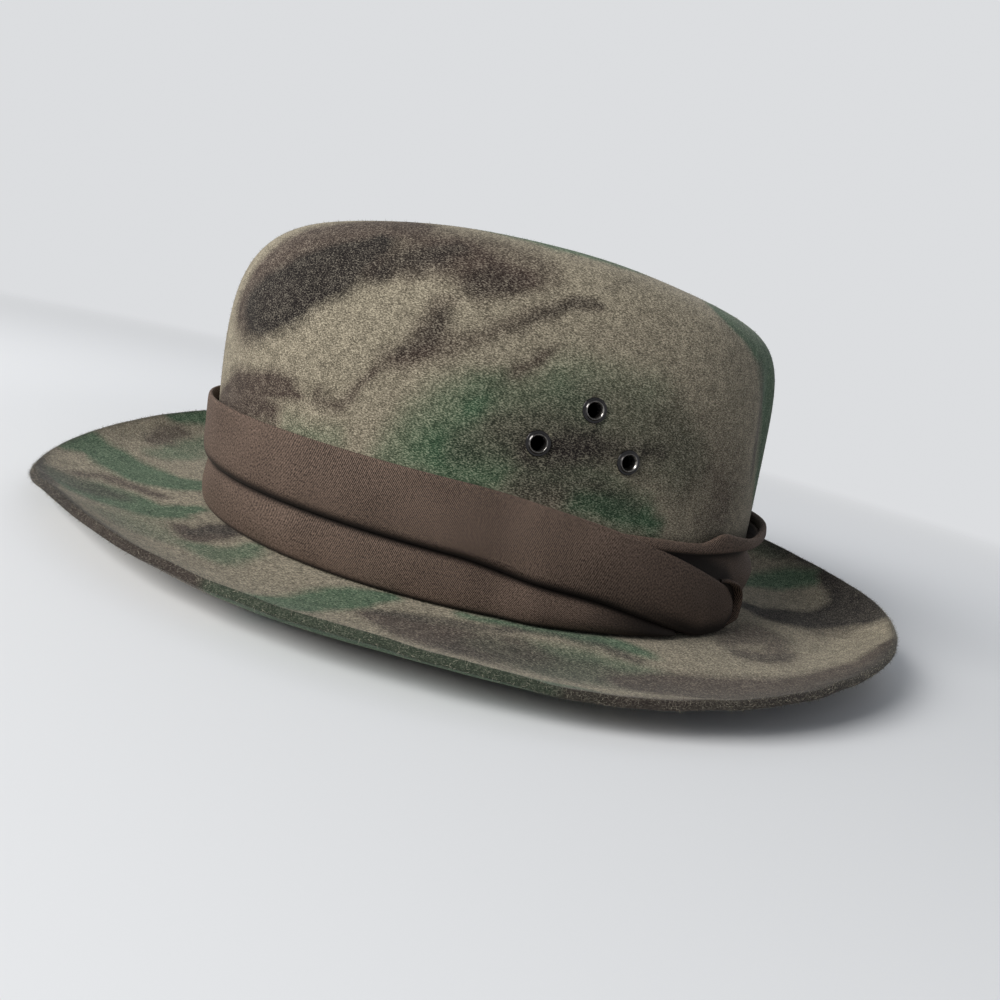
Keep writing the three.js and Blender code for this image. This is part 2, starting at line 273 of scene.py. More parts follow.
# %% [markdown]
# ### Lamps
#
# One large soft lamp stands in front of the hat, on its left and above it, and shows the form.
# A weak one behind it lifts the shadows, and the pale sky does the rest. A picture of a sky
# could light it all, but two lamps are easier to steer.

# %% Lamps
LAMP_AIM = (0, 0, 0.05)
KEY = {"place": (0.5, -1.32, 0.85), "size": 0.8, "power": 33, "colour": (1.0, 0.985, 0.96)}
FILL = {"place": (-0.9, 0.7, 1.2), "size": 1.2, "power": 2, "colour": (0.93, 0.96, 1.0)}
SKY = (0.86, 0.9, 0.96, 1)
SKY_STRENGTH = 0.3


def add_area_light(name, place, size, power, colour):
    """A square area light at a place, facing the hat."""
    data = bpy.data.lights.new(name, "AREA")
    data.size = size
    data.energy = power
    data.color = colour
    light = bpy.data.objects.new(name, data)
    light.location = place
    light.rotation_euler = (Vector(LAMP_AIM) - Vector(place)).to_track_quat("-Z", "Y").to_euler()
    bpy.context.scene.collection.objects.link(light)


add_area_light("key", **KEY)
add_area_light("fill", **FILL)
world = bpy.data.worlds.new("studio_sky")
world.use_nodes = True
world.node_tree.nodes["Background"].inputs["Color"].default_value = SKY
world.node_tree.nodes["Background"].inputs["Strength"].default_value = SKY_STRENGTH
bpy.context.scene.world = world
bpy.context.scene.view_settings.view_transform = "Standard"
print("studio ready")

# %% [markdown]
# ## The felt's shape
#
# A felt hat is steamed over a block, so its crown is a smooth closed form: an oval at the
# head opening, walls that lean in a little, a rounded corner and a long dent pressed into the
# top. It could be sculpted, or modelled as a subdivided cage. A formula is better here,
# because the band and the eyelets have to sit on exactly this surface. The sizes repeat the
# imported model's own, in millimetres.

# %% Sizes of the felt
FELT = 2.6
HALF_LENGTH = 104
HALF_WIDTH = 84
TOP_LINE = {"middle": 113.7, "slope": -2.5, "arch": -14, "skew": 3.5, "ends": 6.5}
CORNER = {"side": 6, "front": 5.5, "back": 9.5}
LEAN = {"side": 0.105, "front": -0.095, "back": 0.1}
TOP_SQUARENESS = 2.17
DENT = {"depth": 15, "half_width": 21, "half_length": 58, "shift": -6, "end": 4, "rim": 8}
REAR_HOLLOW = {"depth": 2.5, "angle": 54, "spread": 8, "from": 0.25, "to": 0.75, "ends": 0.99}
BREAK_RADIUS = 1.2
FLAT_RING = 9
SWEEP_POWER = 3.2
BRIM = {
    "from_front": [0, 22.5, 45, 67.5, 90, 112.5, 135, 157.5, 180],
    "width": [56.1, 55.8, 58.2, 60.9, 62.6, 59.3, 56.6, 55.5, 54.9],
    "left_rise": [4.1, 10.5, 10.1, 10.4, 7.7, 10.8, 14.4, 16.3, 15.7],
    "right_rise": [4.1, 9.2, 15, 15.6, 15.1, 15.5, 16.6, 17.4, 15.7],
}


# %% [markdown]
# ### Curves
#
# A few curves do most of the shaping: a step with level ends, a bell, and a smooth line
# through a table. Blender's own curves could draw them, but a function takes whole arrays.


# %% Curves
def smoothstep(value, low, high):
    """Rises from 0 to 1 between low and high, level at both ends."""
    share = np.clip((value - low) / (high - low), 0, 1)
    return share * share * (3 - 2 * share)


def bump(value, centre, spread):
    """A bell curve, 1 at the centre."""
    return np.exp(-(((value - centre) / spread) ** 2))


def signed_power(value, power):
    """A power of the size of a number, with the number's own sign."""
    return np.sign(value) * np.abs(value) ** power


def along(table, key, column, place):
    """A smooth line through a table: a cubic between rows, level at its ends and past them."""
    keys, values = np.asarray(table[key], float), np.asarray(table[column], float)
    slopes = np.zeros(len(keys))
    slopes[1:-1] = (values[2:] - values[:-2]) / (keys[2:] - keys[:-2])
    place = np.clip(place, keys[0], keys[-1])
    row = np.clip(np.searchsorted(keys, place, side="right") - 1, 0, len(keys) - 2)
    step = keys[row + 1] - keys[row]
    share = (place - keys[row]) / step
    rest = 1 - share
    ends = values[row] * rest**2 * (1 + 2 * share) + values[row + 1] * share**2 * (1 + 2 * rest)
    return ends + step * share * rest * (slopes[row] * rest - slopes[row + 1] * share)


# %% [markdown]
# ### Crown and brim
#
# The crown is a superellipse seen from the side, carried round an oval, with a long dent
# pressed into its top. The brim leaves the oval along its normals. Each is a formula of an
# angle and a way, so it can be asked for any place: the felt's grid, the strokes of the print,
# the band and the eyelets all use it.


# %% Crown and brim
def by_side(sizes, angle):
    """Side value at the sides, front or back value at the ends, blended by the sine squared."""
    end = np.sin(angle) ** 2
    return sizes["side"] * (1 - end) + np.where(np.sin(angle) < 0, sizes["front"], sizes["back"]) * end


def crown_points(angle, way):
    """Outer face of the crown: a superellipse from the side on an oval plan. The way runs from 0
    at the brim to 1 at the corner and 2 at the middle of the top. The top follows a curve of the
    fourth degree along the hat, less the long dent, which is a bell across and flat along."""
    turn = np.where(way <= 1, np.arctan(way), np.pi / 2 - np.arctan(2 - way))
    corner = by_side(CORNER, angle)
    reach = (np.cos(turn) ** corner + np.sin(turn) ** corner) ** (-1 / corner)
    rise = reach * np.sin(turn)
    plan = 2 / (2 + (TOP_SQUARENESS - 2) * rise)
    side = np.degrees(np.arctan2(np.sin(angle), np.abs(np.cos(angle))))
    level = smoothstep(rise, REAR_HOLLOW["from"], REAR_HOLLOW["to"])
    level = level * (1 - smoothstep(rise, REAR_HOLLOW["to"], REAR_HOLLOW["ends"]))
    hollow = REAR_HOLLOW["depth"] * level * bump(side, REAR_HOLLOW["angle"], REAR_HOLLOW["spread"])
    spread = reach * np.cos(turn) * (1 - by_side(LEAN, angle) * rise) * (1 - hollow / HALF_WIDTH)
    x = HALF_WIDTH * spread * signed_power(np.cos(angle), plan)
    y = HALF_LENGTH * spread * signed_power(np.sin(angle), plan)
    place = y / HALF_LENGTH
    line = TOP_LINE["middle"] + place * (TOP_LINE["slope"] + place * (
        TOP_LINE["arch"] + place * (TOP_LINE["skew"] + place * TOP_LINE["ends"])))
    lengthwise = np.exp(-(((y - DENT["shift"]) / DENT["half_length"]) ** DENT["end"]))
    dent = DENT["depth"] * bump(x, 0, DENT["half_width"]) * lengthwise * rise ** DENT["rim"]
    return np.stack([x, y, FELT + rise * line - dent], -1)


def plan_normal(angle):
    """Outward direction of the head oval in plan."""
    out = np.stack([np.cos(angle) / HALF_WIDTH, np.sin(angle) / HALF_LENGTH, 0 * angle], -1)
    return out / np.linalg.norm(out, axis=-1, keepdims=True)


def oval_points(angle, offset, height):
    """The head oval, moved out by an offset, at a height."""
    angle, offset, height = np.broadcast_arrays(angle, offset, height)
    flat = np.stack([HALF_WIDTH * np.cos(angle), HALF_LENGTH * np.sin(angle), height], -1)
    return flat + plan_normal(angle) * offset[..., None]


def brim_points(angle, way):
    """Upper face of the brim: out from the break along the oval's normal by the width's share, and
    up by a power of the way past the flat ring. Its sizes depend on the angle from the front."""
    from_front = np.abs((np.degrees(angle) + 90 + 540) % 360 - 180)
    width = along(BRIM, "from_front", "width", from_front)
    rise = np.where(
        np.cos(angle) > 0,
        along(BRIM, "from_front", "left_rise", from_front),
        along(BRIM, "from_front", "right_rise", from_front))
    offset = BREAK_RADIUS + (width - BREAK_RADIUS) * way
    sweep = np.maximum(0, (offset - FLAT_RING) / (width - FLAT_RING))
    return oval_points(angle, offset, FELT + rise * sweep**SWEEP_POWER)


print("crown top", crown_points(np.array(0.0), np.array(2.0)).round(2), "mm")


# %% [markdown]
# ## The felt as a closed shell
#
# The outer face runs from the middle of the top down the wall, round the tight break, out over
# the brim and round the cut edge; the inner face is the same surface one felt thickness in.
# Solidify could add the wall, but the cut edge of thick felt is a rounded square that
# deserves points of its own. Real felt is never quite even, so slow waves of half a
# millimetre move the surface where nothing is fastened to it.

# %% The felt's outer face
ROUND = 432
CROWN_ROWS = 90
CROWN_SPACING = (0.45, 0.55)
BRIM_ROWS = 36
BRIM_SPACING = 0.85
BREAK_ROWS = 5
EDGE_REACH = 0.9


def felt_outer_face():
    """Grid of the visible face, from the top's middle to the cut edge, with the way of each row. Rows
    lie closest at the crown's corner, and a quarter circle joins the wall to the brim."""
    angle = np.linspace(0, 2 * np.pi, ROUND, endpoint=False)[None, :]
    spread = np.linspace(1, -1, CROWN_ROWS)[1:-1, None]
    crown_way = 1 + spread * (CROWN_SPACING[0] + CROWN_SPACING[1] * spread**2)
    crown = crown_points(angle, crown_way)
    turn = np.radians(np.linspace(180, 270, BREAK_ROWS))[:, None] + 0 * angle
    heel = oval_points(
        angle, BREAK_RADIUS * (1 + np.cos(turn)), FELT + BREAK_RADIUS * (1 + np.sin(turn)))
    share = np.linspace(0, 1, BRIM_ROWS + 1)[1:, None] ** BRIM_SPACING
    brim_way = share * (1 - EDGE_REACH / BRIM["width"][0])
    brim = brim_points(angle, brim_way)
    ways = np.concatenate([crown_way[:, 0], 0 * turn[:, 0], -brim_way[:, 0]])
    return ways, np.concatenate([crown, heel, brim])


felt_ways, face = felt_outer_face()
print("outer face", face.shape)

# %% [markdown]
# ### Unevenness
#
# The waves are sums of sines in space, so the felt needs no seam. They act on the top of the
# crown, on the outer half of the brim and, shorter, near the cut edge: positive ways are the
# crown's, negative ways the brim's. The wall stays true for the band and the eyelets.

# %% Unevenness
WAVES = {
    "crown": {"height": 0.45, "length": 95, "from": 0.55, "to": 1.0, "way": 1},
    "brim": {"height": 0.6, "length": 120, "from": 0.45, "to": 0.85, "way": -1},
    "edge": {"height": 0.35, "length": 31, "from": 0.8, "to": 0.98, "way": -1},
}


def slow_waves(points, length):
    """Smooth unevenness between about -1 and 1: four sines that run in different directions."""
    x, y, z = np.moveaxis(points * (2 * np.pi / length), -1, 0)
    total = np.sin(x + 0.6 * y + 1.3) + np.sin(0.5 * x - 1.1 * y + 0.4 * z + 4.1)
    total = total + np.sin(1.7 * x + 0.3 * z + 2.2) * 0.6 + np.sin(1.9 * y - 0.8 * z + 0.7) * 0.6
    return total / 3.2


def outward(points):
    """Unit normals of a grid of rows of closed rings, out of the felt's visible face."""
    down = np.gradient(points, axis=0)
    on = np.roll(points, -1, axis=1) - np.roll(points, 1, axis=1)
    normal = np.cross(down, on)
    return normal / np.maximum(np.linalg.norm(normal, axis=-1, keepdims=True), 1e-9)


push = 0
for wave in WAVES.values():
    where = smoothstep(wave["way"] * felt_ways, wave["from"], wave["to"])[:, None]
    push = push + wave["height"] * where * slow_waves(face, wave["length"])
face = face + outward(face) * push[..., None]
print("pushed by", round(float(push.min()), 2), "to", round(float(push.max()), 2), "mm")

# %% [markdown]
# ### Wall and cut edge
#
# The inner face lies one thickness in, along the normals. The cut edge is half of a rounded
# square between the two. Fewer rows are enough inside, where nothing is fine. Two points close
# the top, one on each face.

# %% The felt's mesh
EDGE_ROWS = 9
EDGE_POWER = 2.6

facing = outward(face)
inner = face - facing * FELT
edge_turn = np.radians(np.linspace(90, -90, EDGE_ROWS + 2))[1:-1, None, None]
edge_out = np.cross(facing[-1], np.roll(face[-1], 1, axis=0) - np.roll(face[-1], -1, axis=0))
edge_out = edge_out / np.linalg.norm(edge_out, axis=-1, keepdims=True)
edge_middle = face[-1] - facing[-1] * FELT / 2
edge = (
    edge_middle
    + facing[-1] * FELT / 2 * signed_power(np.sin(edge_turn), 2 / EDGE_POWER)
    + edge_out * EDGE_REACH * signed_power(np.cos(edge_turn), 2 / EDGE_POWER)
)
inner_rows = np.r_[len(face) - 1:CROWN_ROWS:-2, CROWN_ROWS:0:-2, 0]
shell_rows = np.concatenate([face, edge, inner[inner_rows]])
tops = np.array([crown_points(np.array(0.0), np.array(2.0))] * 2)
tops[1, 2] -= FELT
felt_points = np.concatenate([shell_rows.reshape(-1, 3), tops])
rows = len(shell_rows)
ring = np.arange(ROUND)
ahead = (ring + 1) % ROUND
last = (rows - 1) * ROUND
felt_faces = grid_faces(rows, ROUND, wrap_columns=True)[:, ::-1].tolist()
felt_faces += np.stack([np.full(ROUND, rows * ROUND), ring, ahead], -1).tolist()
felt_faces += np.stack([np.full(ROUND, rows * ROUND + 1), last + ahead, last + ring], -1).tolist()
print("felt grid", shell_rows.shape, "faces", len(felt_faces))

# %% [markdown]
# ## The printed pattern
#
# The felt is printed in soft sprayed strokes of green, brown and near black on a tan ground.
# An image texture could hold them, but a chart of strokes is shorter and can be changed by
# hand. A stroke has a dye, a strength and a line of a few places on the hat. Each place is an
# angle in degrees from the left side, positive to the back, a way up the crown's section, and
# the stroke's half width in millimetres. Later strokes lie over earlier ones. From the left
# side the strokes follow the real hat; the far side's are made up in the same manner.

# %% Strokes on the crown
CROWN_STROKES = [
    ("brown", 0.85, [(-72, 0.7, 11), (-68, 0.83, 11), (-64, 0.97, 11), (-57, 1.1, 11), (-49, 1.2, 8)]),
    ("dark", 1, [(-68, 0.69, 8), (-61, 0.76, 9), (-56, 0.83, 8), (-52, 0.91, 7), (-48, 1.0, 5)]),
    ("dark", 0.8, [(-68, 0.7, 5), (-61, 0.76, 6), (-56, 0.82, 5), (-53, 0.88, 4)]),
    ("brown", 0.6, [(-46, 0.9, 4), (-41, 0.97, 6), (-36, 1.02, 7), (-30, 1.01, 8), (-24, 0.95, 7),
        (-17, 0.95, 4)]),
    ("brown", 0.45, [(-49, 1.2, 5), (-38, 1.15, 7), (-27, 1.1, 8), (-14, 1.04, 6)]),
    ("dark", 0.55, [(-43, 0.9, 2.7), (-40, 0.96, 4), (-34, 1.01, 4), (-32, 1.05, 2.7)]),
    ("dark", 0.4, [(-26, 0.89, 2.7), (-22, 0.93, 4), (-18, 0.93, 2.3)]),
    ("dark", 0.35, [(-54, 0.76, 1.6), (-48, 0.81, 2.4), (-44, 0.86, 2.6)]),
    ("brown", 0.5, [(-38, 0.57, 1.6), (-36, 0.61, 3), (-32, 0.66, 4), (-30, 0.73, 4), (-30, 0.79, 2.9),
        (-28, 0.82, 1.4)]),
    ("dark", 0.45, [(-34, 0.64, 1.7), (-30, 0.69, 2.5), (-29, 0.75, 2.4)]),
    ("brown", 0.5, [(-34, 0.61, 2.3), (-29, 0.65, 3), (-23, 0.71, 2.7), (-18, 0.77, 2.3), (-12, 0.84, 2.4),
        (-6, 0.9, 2.2), (-2, 0.92, 0.9)]),
    ("dark", 0.45, [(-17, 0.77, 1.2), (-12, 0.83, 1.6), (-6, 0.9, 1.9), (-2, 0.93, 0.7)]),
    ("brown", 0.75, [(-20, 0.56, 1.2), (-16, 0.62, 1.8), (-14, 0.66, 2.3), (-10, 0.71, 1.6),
        (-8, 0.75, 0.5)]),
    ("brown", 0.65, [(-38, 0.57, 0.9), (-40, 0.53, 1.1), (-42, 0.49, 1.6), (-44, 0.46, 1.9),
        (-48, 0.47, 1.8), (-48, 0.49, 1.3)]),
    ("dark", 0.25, [(-2, 0.99, 0.9), (2, 1.08, 1.4), (7, 1.16, 1.4)]),
    ("brown", 0.95, [(-81, 0.36, 4), (-69, 0.43, 5), (-60, 0.46, 4), (-54, 0.47, 2.9), (-51, 0.47, 1.1)]),
    ("brown", 0.85, [(-76, 0.36, 4), (-65, 0.38, 4), (-58, 0.38, 2.9)]),
    ("green", 0.45, [(-31, 0.35, 6), (-29, 0.4, 8), (-26, 0.46, 9), (-23, 0.52, 8), (-20, 0.58, 6),
        (-17, 0.62, 3)]),
    ("green", 0.4, [(-24, 0.4, 8), (-18, 0.45, 10), (-12, 0.52, 9), (-6, 0.56, 8), (0, 0.55, 5)]),
    ("green", 0.58, [(-18, 0.37, 9), (-10, 0.4, 8), (-4, 0.42, 7), (4, 0.39, 6), (13, 0.36, 4)]),
    ("green", 0.35, [(-16, 0.56, 8), (-4, 0.6, 12), (8, 0.6, 12), (20, 0.52, 9)]),
    ("dark", 0.28, [(-12, 0.5, 8), (0, 0.55, 12), (12, 0.55, 12), (22, 0.48, 9)]),
    ("green", 0.35, [(-53, 0.37, 2.4), (-48, 0.37, 3), (-42, 0.37, 3.0)]),
    ("dark", 0.35, [(-20, 0.42, 5), (-14, 0.46, 6), (-7, 0.5, 6), (0, 0.52, 4)]),
    ("dark", 0.5, [(-8, 0.44, 5), (0, 0.48, 5), (8, 0.51, 4), (14, 0.52, 2.6)]),
    ("dark", 0.55, [(-9, 0.34, 4), (-2, 0.36, 5), (4, 0.37, 5), (11, 0.36, 3)]),
    ("green", 0.75, [(0, 0.34, 2.8), (6, 0.34, 4), (12, 0.33, 4), (17, 0.32, 3)]),
    ("brown", 0.2, [(16, 0.6, 8), (24, 0.56, 10), (34, 0.52, 10), (40, 0.43, 9)]),
    ("brown", 0.35, [(30, 0.5, 3), (34, 0.44, 5), (34, 0.39, 6), (30, 0.36, 4)]),
    ("green", 1, [(36, 1.16, 5), (45, 1.07, 7), (55, 0.98, 10), (61, 0.86, 12), (64, 0.76, 13),
        (66, 0.63, 13), (67, 0.52, 12), (70, 0.4, 10)]),
    ("dark", 0.45, [(45, 0.9, 2.4), (47, 0.81, 3), (49, 0.72, 4), (50, 0.61, 4), (51, 0.52, 3)]),
    ("green", 0.7, [(34, 1.1, 3), (43, 1.06, 6), (49, 0.98, 9), (53, 0.88, 10)]),
    ("green", 0.7, [(95, 1.3, 6), (112, 0.9, 11), (120, 0.6, 8)]),
    ("brown", 0.8, [(150, 0.9, 4), (160, 0.75, 8), (172, 0.62, 6), (184, 0.56, 2)]),
    ("dark", 0.6, [(158, 0.78, 2), (168, 0.68, 4), (176, 0.62, 2)]),
    ("green", 0.8, [(196, 0.44, 5), (206, 0.5, 8), (214, 0.62, 6), (220, 0.74, 3)]),
    ("brown", 0.8, [(188, 0.95, 2), (200, 0.88, 5), (214, 0.9, 6), (228, 1.02, 4)]),
    ("dark", 0.6, [(224, 0.5, 2), (234, 0.6, 4), (243, 0.74, 3)]),
    ("brown", 0.8, [(238, 0.4, 5), (250, 0.44, 7), (262, 0.5, 3)]),
    ("green", 0.5, [(252, 0.86, 4), (262, 0.78, 6), (270, 0.7, 3)]),
    ("brown", 0.7, [(150, 1.35, 3), (172, 1.3, 7), (196, 1.28, 6), (214, 1.34, 3)]),
    ("green", 0.7, [(10, 1.32, 3), (-14, 1.36, 6), (-50, 1.5, 6), (-90, 1.6, 3)]),
    ("dark", 0.6, [(70, 1.42, 3), (60, 1.62, 5), (10, 1.86, 4), (-80, 1.8, 3)]),
]
print("strokes on the crown", len(CROWN_STROKES))

# %% [markdown]
# On the brim the middle number is the share of the brim's width, from the crown to the edge.

# %% Strokes on the brim
BRIM_STROKES = [
    ("green", 0.9, [(-124, 1, 4), (-130, 0.97, 6), (-140, 0.92, 5)]),
    ("brown", 0.6, [(-114, 0.79, 3), (-118, 0.79, 5), (-123, 0.85, 4)]),
    ("green", 0.5, [(-111, 0.59, 5), (-119, 0.59, 7), (-126, 0.68, 5)]),
    ("green", 1, [(-98, 1, 6), (-101, 0.94, 9), (-101, 0.77, 9), (-98, 0.58, 9), (-95, 0.38, 9),
        (-95, 0.23, 8), (-98, 0.06, 6)]),
    ("green", 0.9, [(-83, 1, 6), (-80, 0.84, 10), (-79, 0.69, 11), (-77, 0.56, 10), (-74, 0.41, 9),
        (-74, 0.26, 6), (-77, 0.1, 3)]),
    ("dark", 0.45, [(-84, 0.97, 6), (-82, 0.82, 9), (-80, 0.69, 8), (-79, 0.55, 5)]),
    ("brown", 0.65, [(-87, 0.77, 3), (-89, 0.62, 4), (-86, 0.43, 4), (-83, 0.29, 2.5)]),
    ("green", 0.35, [(-66, 0.64, 8), (-63, 0.56, 9), (-60, 0.48, 6)]),
    ("brown", 0.95, [(-66, 0.32, 2.5), (-61, 0.3, 5), (-63, 0.15, 6), (-64, 0.03, 4)]),
    ("dark", 0.5, [(-63, 0.28, 2.5), (-64, 0.15, 4), (-64, 0.05, 4)]),
    ("green", 0.6, [(-55, 0.38, 5), (-52, 0.34, 7), (-52, 0.2, 5), (-54, 0.06, 3)]),
    ("green", 1, [(-38, 0.72, 3), (-35, 0.58, 5), (-33, 0.36, 6), (-30, 0.16, 5), (-26, 0.05, 2.5)]),
    ("brown", 0.85, [(-26, 0.38, 4), (-22, 0.4, 8), (-17, 0.42, 10), (-12, 0.42, 11), (-8, 0.4, 10)]),
    ("dark", 0.55, [(-27, 0.31, 2), (-22, 0.26, 3), (-18, 0.22, 3), (-10, 0.15, 2), (-2, 0.08, 2),
        (7, 0.14, 3), (11, 0.32, 2.5)]),
    ("green", 0.65, [(-11, 0.4, 8), (-4, 0.46, 12), (3, 0.5, 13), (9, 0.56, 10)]),
    ("dark", 0.4, [(-13, 0.5, 8), (-5, 0.52, 11), (3, 0.56, 11), (8, 0.62, 8)]),
    ("green", 0.75, [(-14, 0.05, 2.2), (-6, 0.05, 2), (2, 0.05, 4), (9, 0.1, 5), (14, 0.22, 4)]),
    ("green", 1, [(-38, 0.98, 5), (-31, 0.95, 7), (-24, 0.94, 8), (-17, 0.95, 8), (-10, 0.96, 8),
        (-4, 0.98, 6)]),
    ("brown", 0.8, [(-78, 1, 4), (-66, 0.99, 4), (-54, 0.98, 4), (-47, 0.97, 4), (-41, 0.96, 3)]),
    ("brown", 0.65, [(-6, 0.98, 2.5), (0, 0.98, 4), (6, 0.98, 5)]),
    ("green", 0.7, [(118, 0.9, 4), (108, 0.94, 6), (100, 0.97, 5)]),
    ("dark", 0.6, [(106, 0.98, 5), (100, 0.99, 6), (94, 0.99, 4), (88, 1, 3)]),
    ("green", 0.7, [(94, 0.45, 5), (94, 0.62, 9), (93, 0.78, 9), (89, 0.92, 6)]),
    ("dark", 0.95, [(74, 0.11, 4), (71, 0.25, 7), (72, 0.42, 9), (72, 0.59, 10), (72, 0.76, 13),
        (73, 0.9, 15), (71, 0.98, 14)]),
    ("dark", 0.95, [(88, 0.98, 3), (82, 0.96, 6), (76, 0.97, 7)]),
    ("brown", 0.35, [(64, 0.62, 5), (64, 0.74, 5)]),
    ("brown", 0.6, [(38, 0.16, 4), (47, 0.18, 7), (53, 0.27, 9), (48, 0.41, 5), (40, 0.45, 5),
        (37, 0.33, 6)]),
    ("dark", 0.4, [(36, 0.2, 1.5), (36, 0.34, 2), (39, 0.44, 2.5), (45, 0.49, 2)]),
    ("brown", 1, [(6, 0.66, 8), (12, 0.7, 12), (20, 0.8, 14), (27, 0.86, 13), (35, 0.91, 12), (43, 0.95, 9),
        (52, 1, 5)]),
    ("dark", 0.3, [(12, 0.86, 5), (24, 0.93, 6), (38, 0.97, 5), (50, 1, 4)]),
    ("dark", 0.5, [(8, 1, 2), (15, 0.99, 3), (24, 1, 3), (36, 1, 3), (48, 1, 2)]),
    ("dark", 0.7, [(-90, 1, 2), (-78, 0.99, 3), (-66, 1, 3), (-61, 0.98, 3)]),
    ("brown", 0.75, [(118, 0.2, 3), (124, 0.5, 8), (122, 0.8, 8), (116, 0.98, 6)]),
    ("green", 0.8, [(140, 0.9, 6), (150, 0.6, 10), (163, 0.35, 8), (174, 0.2, 4)]),
    ("dark", 0.55, [(158, 0.95, 5), (170, 0.8, 7), (182, 0.62, 3)]),
    ("brown", 0.8, [(178, 0.95, 6), (190, 0.7, 10), (203, 0.5, 8), (212, 0.36, 4)]),
    ("green", 0.8, [(206, 0.95, 7), (217, 0.8, 9), (226, 0.55, 6)]),
    ("brown", 0.6, [(196, 0.15, 3), (208, 0.2, 5), (220, 0.15, 3)]),
]
print("strokes on the brim", len(BRIM_STROKES))

# %% [markdown]
# ### Dye on the felt
#
# Each point of the felt takes the dye of the strokes that pass near it. The points are first
# moved by slow waves, so that no outline is as smooth as its chart. The material later breaks
# up the soft edges with the felt's own grain.

# %% Dye on the felt
DYES = ["green", "brown", "dark"]
STEPS_BETWEEN = 4
FADE = {"least": 1.6, "share": 0.42, "most": 0.98, "extra": 0.3}
COVERS = 0.6
BLEED = 1.12
WANDER = {34: 1.3, 13: 0.8, 6: 0.4}
AXIS_SHIFT = 37


def wandered(points):
    """Each place moved along each axis by slow waves, given as length: how far, in millimetres."""
    moved = points.copy()
    for length, far in WANDER.items():
        for axis in range(3):
            moved[..., axis] += far * slow_waves(np.roll(points, axis, axis=-1) + AXIS_SHIFT * axis, length)
    return moved


def distance_and_width(points, line, widths):
    """For each point, the distance to the nearest place on a line of straight pieces, and the
    half width there, which runs evenly between the line's points."""
    nearest = np.full(points.shape[:-1], np.inf)
    width = np.zeros(points.shape[:-1])
    for start, end, wide, next_wide in zip(line[:-1], line[1:], widths[:-1], widths[1:]):
        piece = end - start
        share = np.clip(((points - start) @ piece) / (piece @ piece), 0, 1)
        gap = np.linalg.norm(points - start - share[..., None] * piece, axis=-1)
        closer = gap < nearest
        nearest = np.where(closer, gap, nearest)
        width = np.where(closer, wide + (next_wide - wide) * share, width)
    return nearest, width


def lay_dye(points, strokes, place):
    """Each stroke adds its dye where it passes and covers part of the other dyes, though dark lets
    brown stay. Its mask is full on the line, half at its half width, and fades to nothing past it."""
    amount = {dye: np.zeros(points.shape[:-1]) for dye in DYES}
    for dye, strength, path in strokes:
        chart = np.array(path, float)
        share = np.linspace(0, len(chart) - 1, STEPS_BETWEEN * (len(chart) - 1) + 1)
        fine = np.stack([np.interp(share, np.arange(len(chart)), column) for column in chart.T])
        line = place(np.radians(fine[0]), fine[1])
        nearest, width = distance_and_width(points, line, fine[2] * BLEED)
        fade = np.minimum(FADE["least"] + FADE["share"] * width, FADE["most"] * width + FADE["extra"])
        mask = strength * (1 - smoothstep(nearest, width - fade, width + fade))
        for other in set(DYES) - {dye, "brown" if dye == "dark" else dye}:
            amount[other] *= 1 - COVERS * mask
        amount[dye] += (1 - amount[dye]) * mask
    return amount


crown_rows = felt_ways > 0
crown_dye = lay_dye(wandered(face[crown_rows]), CROWN_STROKES, crown_points)
brim_dye = lay_dye(wandered(face[~crown_rows]), BRIM_STROKES, brim_points)
face_dye = {dye: np.concatenate([crown_dye[dye], brim_dye[dye]]) for dye in DYES}
print("dyed share", {dye: round(float(face_dye[dye].mean()), 3) for dye in DYES})

# %% [markdown]
# ### Dye on the whole shell
#
# The print soaks into the felt: the cut edge and the brim's underside show it, and the inside
# of the crown shows only a trace. Three more masks mark the cut edge, the inside and the
# stray fibres, for the finish; the shell itself has no stray fibres.

# %% Dye on the whole shell
INSIDE_CROWN_SHARE = 0.25
UNDERSIDE_SHARE = 0.8
EDGE_FROM = 0.965

inner_ways = felt_ways[inner_rows]
inner_share = np.where(inner_ways > 0, INSIDE_CROWN_SHARE, UNDERSIDE_SHARE)[:, None]
shell_masks = {
    dye: np.concatenate([
        face_dye[dye],
        np.repeat(face_dye[dye][-1:], EDGE_ROWS, axis=0),
        face_dye[dye][inner_rows] * inner_share])
    for dye in DYES
}
row_masks = {
    "cut_edge": [smoothstep(-felt_ways, EDGE_FROM, 1), np.ones(EDGE_ROWS),
                 smoothstep(-inner_ways, EDGE_FROM, 1)],
    "inside": [0 * felt_ways, np.zeros(EDGE_ROWS), inner_ways > 0],
    "stray": [0 * felt_ways, np.zeros(EDGE_ROWS), 0 * inner_ways],
}
for name, parts in row_masks.items():
    shell_masks[name] = np.repeat(np.concatenate(parts)[:, None], ROUND, axis=1)


def set_masks(made, masks, extra=0):
    """Stores each mask as a number on every point; the last points, if any, take the mask's first."""
    for name, values in masks.items():
        flat = np.concatenate([np.ravel(values), np.full(extra, np.ravel(values)[0])])
        layer = made.data.attributes.new(name, "FLOAT", "POINT")
        layer.data.foreach_set("value", flat.astype(np.float32))


felt_hat = make_object("felt_hat", felt_points * MM, felt_faces)
set_masks(felt_hat, shell_masks, extra=2)
print("masks on the felt", list(shell_masks))

# %% [markdown]
# ## Places on the crown wall
#
# The band and the eyelets lie on the crown wall, so they need the wall's place at a height
# above the brim, moved out by an offset. The height isn't a parameter of the crown formula,
# so the way is found by halving an interval, for all points at once. Rays cast at the mesh
# would find it too, but only as exactly as the mesh's own grid.


# %% Wall places
HALVINGS = 26


